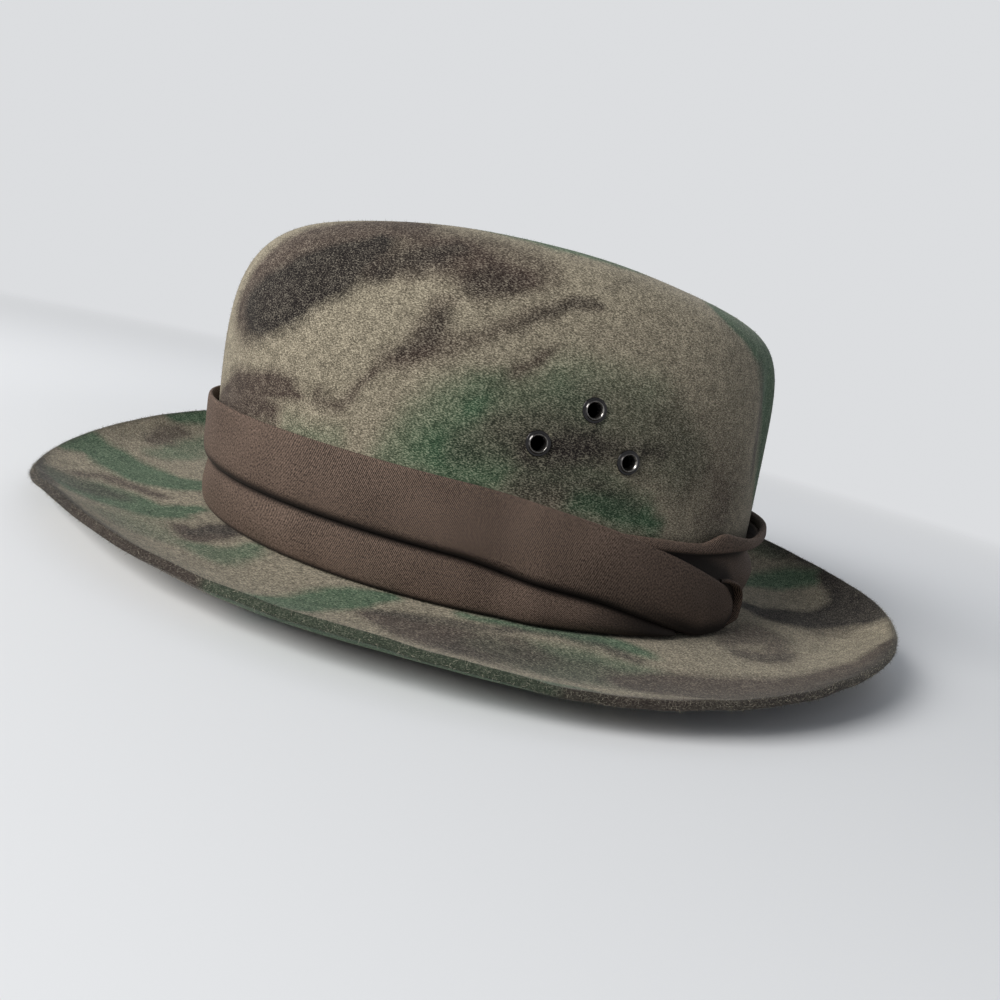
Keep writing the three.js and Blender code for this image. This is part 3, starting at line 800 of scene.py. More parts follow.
def wall_points(degrees, height, offset):
    """The crown wall at a height above the brim, moved out along the head oval's normal. The way is
    bracketed between 0 and 1 and halved until it gives the height."""
    angle, height, offset = np.broadcast_arrays(np.radians(degrees), height, offset)
    low, high = np.zeros(angle.shape), np.ones(angle.shape)
    for _ in range(HALVINGS):
        middle = (low + high) / 2
        below = crown_points(angle, middle)[..., 2] < FELT + np.maximum(height, 0)
        low, high = np.where(below, middle, low), np.where(below, high, middle)
    points = crown_points(angle, low)
    points[..., 2] = FELT + height
    return points + plan_normal(angle) * offset[..., None]


# %% [markdown]
# ## Vent eyelets
#
# Each eyelet is a thin metal tube whose ends are rolled over the felt. It could be bevelled
# from a ring; here it is turned like a pot, because a closed profile that goes once round an
# axis gives every roll its own shape. Three sit in a flat triangle on each side.

# %% Eyelet places
EYELETS = {"front": (-8, 53.7), "top": (0, 66.8), "rear": (8, 53.7)}
SIDES = {"left": 1, "right": -1}
SEAT_ANGLE = 2
SEAT_HEIGHT = 3


def eyelet_seat(place, side):
    """Middle of an eyelet on the crown's face and the three directions of its own frame. Outwards is
    the cross product of a short step round the wall and a short step up it."""
    angle, height = place
    middle = wall_points(angle, height, 0)
    up = wall_points(angle, height + SEAT_HEIGHT, 0) - wall_points(angle, height - SEAT_HEIGHT, 0)
    on = wall_points(angle + SEAT_ANGLE, height, 0) - wall_points(angle - SEAT_ANGLE, height, 0)
    out = np.cross(on, up)
    mirror = np.array([side, 1, 1])
    middle, out = middle * mirror, out / np.linalg.norm(out) * mirror
    across = np.cross([0, 0, 1], out)
    across = across / np.linalg.norm(across)
    return middle, np.stack([across, np.cross(out, across), out])


print("top eyelet at", eyelet_seat(EYELETS["top"], SIDES["left"])[0].round(1), "mm")

# %% [markdown]
# The profile starts as a low flange with a bell-shaped crest near the hole, which catches the
# light as a thin bright ring, then goes down the barrel to a flatter roll inside.

# %% Eyelet profile
EYELET = {"flange": 3.9, "hole": 2.25, "barrel": 2.75, "crest": 0.42, "seat": 0.35}
FLANGE_RISE = {"low": 0.4, "crest": 0.45, "spread": 0.3, "round": 0.5}
INNER_ROLL = {"narrower": 0.15, "rise": 0.8, "round": 0.8}
RIM_BACK = (0.15, 0.25)
ROLL_POINTS = 25
EYELET_SIDES = 56


def eyelet_profile():
    """Closed outline of radius and distance out of the felt: half a turn over the flange, half a turn
    round the inner roll, and straight back along the barrel."""
    under = -FELT - EYELET["seat"]
    roll = np.radians(np.linspace(0, 180, ROLL_POINTS))
    middle, wide = (EYELET["flange"] + EYELET["hole"]) / 2, (EYELET["flange"] - EYELET["hole"]) / 2
    radius = middle + wide * np.cos(roll)
    crest = bump(radius, EYELET["hole"] + EYELET["crest"], FLANGE_RISE["spread"])
    rise = np.sin(roll) ** FLANGE_RISE["round"] * (FLANGE_RISE["low"] + FLANGE_RISE["crest"] * crest)
    outer = np.stack([radius, EYELET["seat"] + rise], -1)
    inner_wide = wide - INNER_ROLL["narrower"]
    inner_roll = np.stack([
        EYELET["hole"] + inner_wide - inner_wide * np.cos(roll),
        under - INNER_ROLL["rise"] * np.sin(roll) ** INNER_ROLL["round"]], -1)
    back = np.array([[EYELET["barrel"], under], [EYELET["barrel"], EYELET["seat"]],
                     [EYELET["flange"] - RIM_BACK[0], EYELET["seat"] - RIM_BACK[1]]])
    return np.concatenate([outer, inner_roll, back])


def turned(profile, seat):
    """The profile carried round the seat's outward axis: radius times a turning direction in the
    seat's plane, plus distance along the axis."""
    middle, (across, up, out) = seat
    turn = np.linspace(0, 2 * np.pi, EYELET_SIDES, endpoint=False)[:, None]
    radius, distance = profile[:, 0], profile[:, 1]
    return (middle + (radius * np.cos(turn))[..., None] * across
            + (radius * np.sin(turn))[..., None] * up + distance[None, :, None] * out)


print("eyelet profile", len(eyelet_profile()), "points")

# %% [markdown]
# ### Eyelets and their holes
#
# The holes go right through the felt, a little wider than the barrels. Cutting them by hand
# would spoil the felt's grid, so a Boolean modifier takes six short tubes away at once, and
# the result is kept as the mesh. The felt's masks come through the cut.

# %% Eyelets and their holes
HOLE_CLEARANCE = 0.3
DRILL_REACH = (-2.2 * FELT, 1.4 * FELT)
RING_SPREAD = 0.35

eyelets = {}
drill_points, drill_faces = [], []
for side_name, side in SIDES.items():
    for place_name, place in EYELETS.items():
        seat = eyelet_seat(place, side)
        profile = eyelet_profile()
        points = turned(profile, seat)
        faces = grid_faces(*points.shape[:2], wrap_rows=True, wrap_columns=True)[:, ::-1]
        name = f"eyelet_{side_name}_{place_name}"
        eyelets[name] = make_object(f"rolled_{name}", points.reshape(-1, 3) * MM, faces)
        # Wear and painted highlight: a bright ring of colour round the crest.
        wear_and_highlight = bump(profile[:, 0], EYELET["hole"] + EYELET["crest"] / 2, RING_SPREAD)
        set_masks(eyelets[name], {"wear_and_highlight": np.broadcast_to(wear_and_highlight, points.shape[:2])})
        bore = EYELET["barrel"] + HOLE_CLEARANCE
        ends = turned(np.array([[bore, reach] for reach in DRILL_REACH]), seat)
        tube = grid_faces(EYELET_SIDES, 2, wrap_rows=True)[:, ::-1].tolist()
        caps = [list(range(0, 2 * EYELET_SIDES, 2))[::-1], list(range(1, 2 * EYELET_SIDES, 2))]
        start = 2 * EYELET_SIDES * len(drill_points)
        drill_points.append(ends.reshape(-1, 3) * MM)
        drill_faces += [[corner + start for corner in corners] for corners in tube + caps]
drill = make_object("drill", np.concatenate(drill_points), drill_faces)
cut = felt_hat.modifiers.new("holes", "BOOLEAN")
cut.operation = "DIFFERENCE"
cut.solver = "MANIFOLD"
cut.object = drill
bpy.context.view_layer.update()
depsgraph = bpy.context.evaluated_depsgraph_get()
pierced = bpy.data.meshes.new_from_object(
    felt_hat.evaluated_get(depsgraph), preserve_all_data_layers=True, depsgraph=depsgraph)
felt_hat.modifiers.clear()
felt_hat.data = pierced
bpy.data.objects.remove(drill)
print("felt after drilling", len(pierced.polygons), "faces,", [a.name for a in pierced.attributes])

# %% [markdown]
# ## Stray fibres
#
# Wool felt never ends in a clean line: short fibres stand off its nap, and the cut edge is
# full of pale tufts. Particle hair would look the same, but thin closed spikes are plain mesh
# and stay where they are in an export. They take the colour of the felt below them, and some
# are paler. Lengths and radii are in millimetres; the count is for the whole felt.

# %% Stray fibres
FIBRE_COUNT = {"nap": 24000, "cut_edge": 9000}
FIBRE_LENGTH = {"nap": (0.4, 1.0), "cut_edge": (0.5, 1.5)}
FIBRE_PALE = {"nap": 0.45, "cut_edge": 0.75}
FIBRE_TILT = 1.1
fibre_random = np.random.default_rng(11)


def scatter(grid, normals, masks, kind):
    """Feet of fibres on a grid of rows, as many per area everywhere, each with a direction, a length
    and the masks of the felt below it."""
    down = np.diff(grid, axis=0)
    on = np.roll(grid, -1, axis=1)[:-1] - grid[:-1]
    area = np.linalg.norm(np.cross(down, on), axis=-1).ravel()
    picked = fibre_random.choice(area.size, FIBRE_COUNT[kind], p=area / area.sum())
    row, column = np.divmod(picked, grid.shape[1])
    share = fibre_random.random((2, len(picked), 1))
    foot = grid[row, column] + share[0] * down[row, column] + share[1] * on[row, column]
    lean = fibre_random.normal(size=foot.shape)
    way = normals[row, column] + FIBRE_TILT * lean / np.linalg.norm(lean, axis=-1, keepdims=True)
    way = way / np.linalg.norm(way, axis=-1, keepdims=True)
    length = fibre_random.uniform(*FIBRE_LENGTH[kind], (len(foot), 1))
    below = {name: values[row, column] for name, values in masks.items()}
    below["stray"] = FIBRE_PALE[kind] * fibre_random.random(len(foot)) ** 2
    return foot, way * length, below


nap = scatter(face, facing, {name: values[:len(face)] for name, values in shell_masks.items()}, "nap")
edge_masks = {name: values[len(face):len(face) + EDGE_ROWS] for name, values in shell_masks.items()}
edge_normal = (edge - edge_middle) / np.linalg.norm(edge - edge_middle, axis=-1, keepdims=True)
tufts = scatter(edge, edge_normal, edge_masks, "cut_edge")
print("fibres scattered", len(nap[0]), "and", len(tufts[0]))

# %% [markdown]
# Where the band or an eyelet lies on the felt, fibres would poke through it, so they are left
# out there. Each of the others becomes a spike of four triangles.

# %% Spikes
FIBRE_RADIUS = 0.04
FIBRE_SUNK = 0.1
BARE_HEIGHT = 38
BARE_BRIM = 7
BARE_EYELET = 4.6


def bare(foot):
    """True where the band or an eyelet covers the felt: low and near the head oval, or within a ball
    round an eyelet."""
    past = np.linalg.norm(foot[:, :2] / np.array([HALF_WIDTH, HALF_LENGTH]), axis=-1)
    covered = (foot[:, 2] < FELT + BARE_HEIGHT) & (past < 1 + BARE_BRIM / HALF_LENGTH)
    for side in SIDES.values():
        for seat_place in EYELETS.values():
            middle = eyelet_seat(seat_place, side)[0]
            covered |= np.linalg.norm(foot - middle, axis=-1) < BARE_EYELET
    return covered


def spikes(foot, reach):
    """A closed three-sided spike for each fibre: three corners round its foot, sunk a little into the
    felt, and its tip."""
    side = np.cross(reach, fibre_random.normal(size=reach.shape))
    side = side / np.linalg.norm(side, axis=-1, keepdims=True)
    other = np.cross(reach, side)
    other = other / np.linalg.norm(other, axis=-1, keepdims=True)
    turn = np.radians([0, 120, 240])[:, None, None]
    feet = foot - FIBRE_SUNK * reach + FIBRE_RADIUS * (np.cos(turn) * side + np.sin(turn) * other)
    points = np.concatenate([feet, (foot + reach)[None]]).swapaxes(0, 1)
    corners = np.array([[0, 1, 3], [1, 2, 3], [2, 0, 3], [0, 2, 1]])
    faces = corners + 4 * np.arange(len(foot))[:, None, None]
    return points.reshape(-1, 3), faces.reshape(-1, 3)


foot, reach = (np.concatenate([nap[k], tufts[k]]) for k in (0, 1))
open_felt = ~bare(foot)
fibre_points, fibre_faces = spikes(foot[open_felt], reach[open_felt])
fibres = make_object("stray_fibres", fibre_points * MM, fibre_faces, smooth=False)
set_masks(fibres, {
    name: np.repeat(np.concatenate([nap[2][name], tufts[2][name]])[open_felt], 4) for name in nap[2]})
print("fibres", int(open_felt.sum()), "triangles", len(fibre_faces))

# %% [markdown]
# ## The band
#
# The band is soft twill, folded into two pleats that run round the crown, and wrapped plainly
# round the back, where its hem is rolled and stands off the felt. A cloth simulation would
# have to be pinned everywhere to keep the pleats, so each strip is built as a folded sheet:
# the line of its cloth in section is carried round the hat, its heights and offsets change
# with the angle, and the line then gets the cloth's thickness on both sides.

# %% Band sizes
BAND_EDGES = {
    "angle": [-240, -180, -90, -18, -5, 7, 16, 25, 33, 42, 46.5],
    "top": [37, 38, 38, 38, 36.5, 33.5, 30, 26, 21.8, 16.8, 13.4],
    "valley": [17, 17, 17, 16.5, 13.5, 11, 7.5, 3.6, 0.5, 0.5, 4.5],
}
HEM = {
    "angle": [0, 9, 17, 24, 29, 34.5, 40, 48, 57, 66, 90, 115, 130, 150],
    "top": [31.5, 32.2, 32.4, 32.2, 32.6, 35.8, 35, 34, 35.2, 37, 37, 36.5, 35.5, 34],
    "foot": [28.6, 29, 29.2, 29.2, 29.3, 29.9, 30.3, 30.6, 31.8, 33.2, 33.4, 33, 32, 31],
    "stand_off": [0, 0, 0.6, 1.2, 1.8, 2.6, 3, 3.4, 3.8, 4, 2, 0.6, 0, 0],
    "bend": [22, 25, 26, 26, 26, 25, 23, 22, 21, 21, 23, 23, 23, 23],
}
UPPER_PLEAT_ENDS = (-222, 46.5)
LOWER_PLEAT_ENDS = (-222, 27)
REAR_WRAP_ENDS = (4, 150)
BAND_GAP = 0.4
CLOTH = 0.7
WRAP_CLOTH = 1.3
OVER_WRAP = {"rise": WRAP_CLOTH + 0.3, "from": 6, "lap": 8}


def lap_over(degrees):
    """How far the pleats stand out where they lie over the ends of the rear wrap: a step up at each
    end, which starts at the lap and the margin before the wrap's end."""
    start, end = REAR_WRAP_ENDS[0] - OVER_WRAP["from"], REAR_WRAP_ENDS[1] - 360 + OVER_WRAP["from"]
    near = smoothstep(degrees, start - OVER_WRAP["lap"], start)
    far = 1 - smoothstep(degrees, end, end + OVER_WRAP["lap"])
    return OVER_WRAP["rise"] * np.maximum(near, far)


print("pleats stand out", lap_over(np.array([-222, -90, 0])).round(2), "mm over the wrap")

# %% [markdown]
# ### Sections of cloth
#
# A section is a path of a few pairs, offset from the wall and height above the brim, and each
# number may change with the angle. A smooth curve through the pairs is the middle of the
# cloth. Solidify could thicken it, but then a tight fold would pinch.

# %% Sections of cloth
SECTION_POINTS = 44


def curve_through(points, count):
    """A smooth line through each row of points: on each piece the cubic whose slopes at its ends are
    half the step between the neighbours, as a Catmull-Rom curve has."""
    before, after = 2 * points[:, :1] - points[:, 1:2], 2 * points[:, -1:] - points[:, -2:-1]
    padded = np.concatenate([before, points, after], 1)
    place = np.linspace(0, points.shape[1] - 1, count)
    piece = np.minimum(place.astype(int), points.shape[1] - 2)
    share = (place - piece)[None, :, None]
    a, b, c, d = (padded[:, piece + k] for k in range(4))
    return 0.5 * (2 * b + (c - a) * share + (2 * a - 5 * b + 4 * c - d) * share**2
                  + (3 * b - a - 3 * c + d) * share**3)


def folded_cloth(path, thickness):
    """A closed outline round a line of cloth: the line moved out by half the thickness on one side,
    and back along the other side."""
    step = np.gradient(path, axis=1)
    side = np.stack([step[..., 1], -step[..., 0]], -1)
    side = side / np.linalg.norm(side, axis=-1, keepdims=True)
    return np.concatenate([path + side * thickness / 2, (path - side * thickness / 2)[:, ::-1]], 1)


def stack_path(*pairs):
    """Control points of a section from pairs of offset and height, each a number for every column."""
    numbers = np.broadcast_arrays(*[number for pair in pairs for number in pair])
    return np.stack([np.stack(numbers[::2], 1), np.stack(numbers[1::2], 1)], -1)


# %% [markdown]
# ### Strips of cloth
#
# A strip carries its section round the crown wall. It also keeps two things for the finish:
# the cloth's own length and width in metres as a UV map, which the weave follows, and a mask
# of painted shade, dark deep in the folds and under other cloth, where little light gets.

# %% Strips of cloth
COLUMNS_PER_DEGREE = 1.6
END_SHAPE = {"thin": 0.97, "short": 0.12}


def walked(line):
    """The way walked along a line of points, from 0 at its start."""
    return np.insert(np.cumsum(np.linalg.norm(np.diff(line, axis=0), axis=-1)), 0, 0)


def cloth_strip(name, degrees, outline, painted_shade):
    """A closed shell from one outline of offset and height at each angle, with the cloth's own
    length and width as its UV map, in metres, and a mask of painted shade in its folds."""
    points = wall_points(degrees[:, None], outline[..., 1], outline[..., 0])
    points = np.swapaxes(points, 0, 1) * MM
    size, columns = points.shape[:2]
    faces = grid_faces(size, columns, wrap_rows=True)
    first = np.arange(size) * columns
    caps = [first[::-1].tolist(), (first + columns - 1).tolist()]
    made = make_object(name, points.reshape(-1, 3), faces.tolist() + caps)
    set_masks(made, {"painted_shade": painted_shade.T})
    closed = np.concatenate([points, points[:1]])
    across = walked(closed[:, columns // 2])
    length = walked(points[size // 4])
    row, column = np.divmod(np.arange(size * (columns - 1)), columns - 1)
    u = np.stack([length[column], length[column + 1], length[column + 1], length[column]], -1)
    v = np.stack([across[row], across[row], across[row + 1], across[row + 1]], -1)
    layer = made.data.uv_layers.new(name="cloth")
    flat = np.zeros((len(made.data.loops), 2))
    flat[:u.size] = np.stack([u.ravel(), v.ravel()], -1)
    layer.data.foreach_set("uv", flat.astype(np.float32).ravel())
    print(name, len(made.data.polygons), "faces, cloth", round(float(length[-1]), 3), "x",
          round(float(across[-1] / 2), 3), "m")
    return made, (float(across[-1] / 2), float(length[-1]))


def strip_angles(ends):
    """The angles of a strip's columns, from its one end to its other."""
    return np.linspace(*ends, int((ends[1] - ends[0]) * COLUMNS_PER_DEGREE) + 1)


def close_end(outline, degrees, end, reach):
    """Rounds a strip's free end: over the last stretch its thickness closes like a quarter circle and
    its height shrinks a little, both about the middle of the section."""
    share = np.clip(1 - (end - degrees) / reach, 0, 1)[:, None]
    middle = outline.mean(axis=1, keepdims=True)
    thin = np.sqrt(1 - share**2) * END_SHAPE["thin"] + 1 - END_SHAPE["thin"]
    short = 1 - END_SHAPE["short"] * share**2
    return np.stack([
        middle[..., 0] + (outline[..., 0] - middle[..., 0]) * thin,
        middle[..., 1] + (outline[..., 1] - middle[..., 1]) * short], -1)


# %% [markdown]
# ### Upper pleat
#
# The upper pleat is a fold of cloth that runs nearly all round. At the left rear its edge
# goes down to the brim and becomes the flap. At the front it stands a little off the crown.

# %% Upper pleat
PROUD = {"reach": 1.5, "angle": -92, "spread": 30}
FOOT_SHADE = (0.4, 3.2)
FLAP_FROM = (4, 30)
FLAP_SHADE = (2, 7)
UPPER_END = 2.4
END_SHADE = 1.5


def upper_pleat_outline(degrees):
    """The path goes from inside round the lower fold, up the face, over the upper fold and down
    behind. Two slow sines swell the face a little."""
    top = along(BAND_EDGES, "angle", "top", degrees)
    foot = np.maximum(along(BAND_EDGES, "angle", "valley", degrees), 0.5)
    tall = top - foot
    near = BAND_GAP + lap_over(degrees)
    proud = near + PROUD["reach"] * bump(degrees, PROUD["angle"], PROUD["spread"])
    swell = 0.3 * np.sin(np.radians(degrees * 7 + 40)) + 0.15 * np.sin(np.radians(degrees * 17))
    path = stack_path(
        (near + 0.9, foot + 0.3 * tall),
        (near + 0.9, foot + 1.6),
        (near + 1.7, foot + 0.35),
        (near + 2.7, foot + 0.9),
        (near + 3.3 + swell * 0.5, foot + 0.2 * tall),
        (near + 3.1 + swell, foot + 0.5 * tall),
        (near / 2 + proud / 2 + 2.3 + swell, foot + 0.75 * tall),
        (proud + 1.5, top - 1.4),
        (proud + 1.05, top - 0.4),
        (proud + 0.5, top - 1.3),
        (near + 0.45, top - 0.35 * tall),
    )
    return folded_cloth(curve_through(path, SECTION_POINTS), CLOTH)


angles = strip_angles(UPPER_PLEAT_ENDS)
upper_outline = close_end(upper_pleat_outline(angles), angles, UPPER_PLEAT_ENDS[1], UPPER_END)
# Painted shade: the pleat goes dark along its lower fold, further up on the flap, and at its free end.
foot = np.maximum(along(BAND_EDGES, "angle", "valley", angles), 0.5)[:, None]
above = upper_outline[..., 1] - foot
flap = smoothstep(angles, *FLAP_FROM)[:, None]
last = smoothstep(angles, UPPER_PLEAT_ENDS[1] - END_SHADE, UPPER_PLEAT_ENDS[1])[:, None]
upper_painted_shade = np.maximum(1 - smoothstep(above, *FOOT_SHADE), flap * (1 - smoothstep(above, *FLAP_SHADE)))
upper_painted_shade = np.maximum(upper_painted_shade, last)
upper_pleat, upper_flat = cloth_strip("folded_upper_pleat", angles, upper_outline, upper_painted_shade)


# %% [markdown]
# ### Lower pleat
#
# The lower pleat is a rounder fold. Its top edge goes in under the upper pleat, so a dark
# line shows between them, and its foot rolls in on the brim. It tapers out under the flap.

# %% Lower pleat
LOWER_END = 3
TOP_SHADE = (-2.6, -0.6)
BRIM_SHADE = (0.6, 2.6)
UNDER_FLAP = (2, 20)


def lower_pleat_outline(degrees):
    """The path goes up behind, over the top fold, down the round face and in round the foot. All
    heights shrink with the top's, down to nearly nothing at the taper."""
    top = np.maximum(along(BAND_EDGES, "angle", "valley", degrees) - 0.1, 2)
    near = BAND_GAP + lap_over(degrees)
    swell = 0.2 * np.sin(np.radians(degrees * 5 + 10)) + 0.12 * np.sin(np.radians(degrees * 13 + 70))
    path = stack_path(
        (near + 0.4, 0.6 * top),
        (near + 0.4, 0.88 * top),
        (near + 0.7, top - 0.2),
        (near + 1.2, 0.88 * top),
        (near + 2.3 + swell, 0.66 * top),
        (near + 2.9 + swell, 0.36 * top + 0.3),
        (near + 2.35, 0.07 * top + 1.1),
        (near + 1.2, 0.85),
        (near + 0.7, 0.12 * top + 1),
        (near + 0.5, 0.35 * top + 0.6),
    )
    cloth = np.minimum(CLOTH, 0.12 * top + 0.1)
    return folded_cloth(curve_through(path, SECTION_POINTS), cloth[:, None, None])


angles = strip_angles(LOWER_PLEAT_ENDS)
lower_outline = close_end(lower_pleat_outline(angles), angles, LOWER_PLEAT_ENDS[1], LOWER_END)
# Painted shade: the pleat goes dark at its top under the upper pleat, at its foot on the brim, and all over
# under the flap.
valley = along(BAND_EDGES, "angle", "valley", angles)[:, None]
lower_painted_shade = smoothstep(lower_outline[..., 1] - valley, *TOP_SHADE)
lower_painted_shade = np.maximum(lower_painted_shade, 1 - smoothstep(lower_outline[..., 1], *BRIM_SHADE))
lower_painted_shade = np.maximum(lower_painted_shade, smoothstep(angles, *UNDER_FLAP)[:, None])
lower_pleat, lower_flat = cloth_strip("folded_lower_pleat", angles, lower_outline, lower_painted_shade)


# %% [markdown]
# ### Rear wrap
#
# Round the back the cloth lies plain, with a rolled hem that stands off the crown, rises to a
# small peak and runs down to the flap. Below the hem the cloth bulges and turns in under it.

# %% Rear wrap
BULGE = {"reach": 3.2, "angle": 76, "spread": 20}
FLAT_ENDS = (0, 14, 138, 150)
HEM_LINE = (-0.8, 0.4)
UNDER_HEM = (-7, -2)
BESIDE_FLAP = (42, 50)
OVER_FLAP = (3, 10)


def rear_wrap_outline(degrees):
    """The path goes from behind the foot, round it, up the bulging face, in under the hem, and round
    the rolled hem, which stands off the crown and ends inside. Both ends of the wrap lie flat."""
    top = along(HEM, "angle", "top", degrees)
    off = BAND_GAP + along(HEM, "angle", "stand_off", degrees)
    bend = along(HEM, "angle", "bend", degrees)
    hem_foot = along(HEM, "angle", "foot", degrees)
    fold = top - hem_foot
    full = smoothstep(degrees, *FLAT_ENDS[:2]) * (1 - smoothstep(degrees, *FLAT_ENDS[2:]))
    bulge = BAND_GAP + 0.9 + 0.9 * full
    swollen = bulge + BULGE["reach"] * bump(degrees, BULGE["angle"], BULGE["spread"])
    path = stack_path(
        (BAND_GAP + 0.45, 7),
        (BAND_GAP + 0.45, 2),
        (BAND_GAP + 0.8, 0.8),
        (BAND_GAP + 1.1, 2.2),
        (bulge, 0.4 * bend),
        (swollen, 0.82 * bend),
        (BAND_GAP + 0.5, bend + 0.4 * (hem_foot - bend)),
        (BAND_GAP + 0.5 + 0.5 * off, hem_foot - 0.9),
        (off + 0.9 + 0.9 * full, hem_foot),
        (off + 0.7 + 1.4 * full, top - 0.6 * fold),
        (off + 0.6 + 0.9 * full, top - 0.3),
        (off + 0.3, top - 1.2),
        (off + 0.2, hem_foot + 0.3),
    )
    return folded_cloth(curve_through(path, SECTION_POINTS + 12), CLOTH)


angles = strip_angles(REAR_WRAP_ENDS)
rear_outline = rear_wrap_outline(angles)
# Painted shade: the wrap goes dark in the recess under the hem, and from the flap's top up to the hem beside
# the flap.
past_hem = rear_outline[..., 1] - along(HEM, "angle", "foot", angles)[:, None]
past_flap = rear_outline[..., 1] - along(BAND_EDGES, "angle", "top", angles)[:, None]
below_hem = 1 - smoothstep(past_hem, *HEM_LINE)
beside = 1 - smoothstep(angles, *BESIDE_FLAP)[:, None]
rear_painted_shade = smoothstep(past_hem, *UNDER_HEM) * below_hem
rear_painted_shade = np.maximum(rear_painted_shade, beside * below_hem * (1 - smoothstep(past_flap, *OVER_FLAP)))
rear_wrap, rear_flat = cloth_strip("rolled_rear_wrap", angles, rear_outline, rear_painted_shade)

# %% [markdown]
# ### The tuck
#
# The upper pleat's free end slips under a narrow fold that stands up from the wrap. It is a
# doubled ribbon of cloth on edge, carried along an arc of an ellipse on the crown wall. It
# could be another strip, but its path turns a corner, so it gets a frame of its own.

# %% Tuck fold
TUCK = {"angle": 40, "height": 8.6, "across": 14.2, "up": 9.6, "from": -50, "to": 96,
        "reach": 4.2, "low_share": 0.35, "cloth": 0.4}
TUCK_RISE = (0.5, 0.7)
TUCK_MARGIN = -3.2
TUCK_SHADE = (1, 2.2)
WALL_RADIUS = 92
TUCK_COLUMNS = 60
TUCK_POINTS = 30


def tuck_points():
    """The arc of an ellipse on the wall; across it the cloth comes out of the wall, folds over and goes
    back in beside itself, with both its margins under the flap. The fold is lower at its ends."""
    turn = np.radians(np.linspace(TUCK["from"], TUCK["to"], TUCK_COLUMNS))
    inner = BAND_GAP + WRAP_CLOTH + 0.3
    rise = smoothstep(turn, turn[0], turn[0] + TUCK_RISE[0])
    rise = rise * (1 - smoothstep(turn, turn[-1] - TUCK_RISE[1], turn[-1]))
    reach = TUCK["reach"] * (TUCK["low_share"] + (1 - TUCK["low_share"]) * rise)
    path = stack_path(
        (TUCK_MARGIN, inner + 0.95),
        (-0.3, inner + 0.95),
        (0.1, inner + 0.45 * reach),
        (0.35, inner + 0.8 * reach),
        (0.8, inner + reach),
        (1.25, inner + 0.85 * reach),
        (1.3, inner + 0.4 * reach),
        (1.0, inner + 0.35),
        (TUCK_MARGIN, inner + 0.3),
    )
    section = folded_cloth(curve_through(path, TUCK_POINTS), TUCK["cloth"])
    across = (TUCK["across"] + section[..., 0]) * np.cos(turn)[:, None]
    height = TUCK["height"] + (TUCK["up"] + section[..., 0]) * np.sin(turn)[:, None]
    return TUCK["angle"] + np.degrees(across / WALL_RADIUS), height, section[..., 1]


def tuck_shell():
    """The fold as a closed shell, with its places beside and above as the cloth's map, and the mean
    width of one side and the mean length, in metres."""
    degrees, height, offset = tuck_points()
    points = np.swapaxes(wall_points(degrees, height, offset), 0, 1) * MM
    size, columns = points.shape[:2]
    faces = grid_faces(size, columns, wrap_rows=True)[:, ::-1].tolist()
    first = np.arange(size) * columns
    faces += [first.tolist(), (first + columns - 1)[::-1].tolist()]
    made = make_object("standing_tuck_fold", points.reshape(-1, 3), faces)
    # Painted shade: the fold goes dark low down, near the wall.
    painted_shade = 1 - smoothstep(offset - offset.min(), *TUCK_SHADE)
    set_masks(made, {"painted_shade": painted_shade.T})
    layer = made.data.uv_layers.new(name="cloth")
    corners = np.zeros(len(made.data.loops), np.int32)
    made.data.loops.foreach_get("vertex_index", corners)
    flat = points.reshape(-1, 3)[corners][:, [1, 2]]
    layer.data.foreach_set("uv", flat.astype(np.float32).ravel())
    length = np.linalg.norm(np.diff(points, axis=1), axis=-1).sum(axis=1).mean()
    width = np.linalg.norm(np.diff(points[:size // 2], axis=0), axis=-1).sum(axis=0).mean()
    return made, (float(width), float(length))


tuck_fold, tuck_flat = tuck_shell()
print("tuck fold, width and length", [round(v, 4) for v in tuck_flat], "m")

# %% [markdown]
# ## Finishes
#
# Three materials cover the hat: printed felt, brown twill and dark plated metal. Each is a
# Principled shader whose colour and relief come from node groups. Pictures could be wrapped
# round the hat instead, but groups work with the places on the object, at any closeness, and
# nothing slides when the view changes. First come the helpers for groups and masks.


# %% Helpers for groups
def new_group(name, inputs, outputs):
    """An empty node group with named sockets, given as name: (kind, default)."""
    group = bpy.data.node_groups.new(name, "ShaderNodeTree")
    for key, (kind, value) in inputs.items():
        socket = group.interface.new_socket(key, in_out="INPUT", socket_type=f"NodeSocket{kind}")
        if value is not None:
            socket.default_value = value
    for key, kind in outputs.items():
        group.interface.new_socket(key, in_out="OUTPUT", socket_type=f"NodeSocket{kind}")
    return group, group.nodes.new("NodeGroupInput"), group.nodes.new("NodeGroupOutput")


def place_group(tree, group, inputs):
    """Puts a group into a material and sets or links its inputs."""
    node = tree.nodes.new("ShaderNodeGroup")
    node.node_tree = group
    for key, value in inputs.items():
        join(tree, value, node.inputs[key])
    return node


def mask_node(tree, name):
    """The number that a mask holds at the place that is shaded."""
    node = tree.nodes.new("ShaderNodeAttribute")
    node.attribute_type = "GEOMETRY"
    node.attribute_name = name
    return node.outputs["Fac"]


def shade(tree, colour, value):
    """A colour made lighter or darker by a number."""
    node = tree.nodes.new("ShaderNodeCombineColor")
    for key in ("Red", "Green", "Blue"):
        tree.links.new(value, node.inputs[key])
    return mix_colour(tree, 1.0, colour, node.outputs["Color"], "MULTIPLY")


def add_relief(tree, shader, height, strength, distance):
    """A Bump node between a height and the shader's normal."""
    relief = tree.nodes.new("ShaderNodeBump")
    relief.inputs["Strength"].default_value = strength
    relief.inputs["Distance"].default_value = distance
    tree.links.new(height, relief.inputs["Height"])
    tree.links.new(relief.outputs["Normal"], shader.inputs["Normal"])


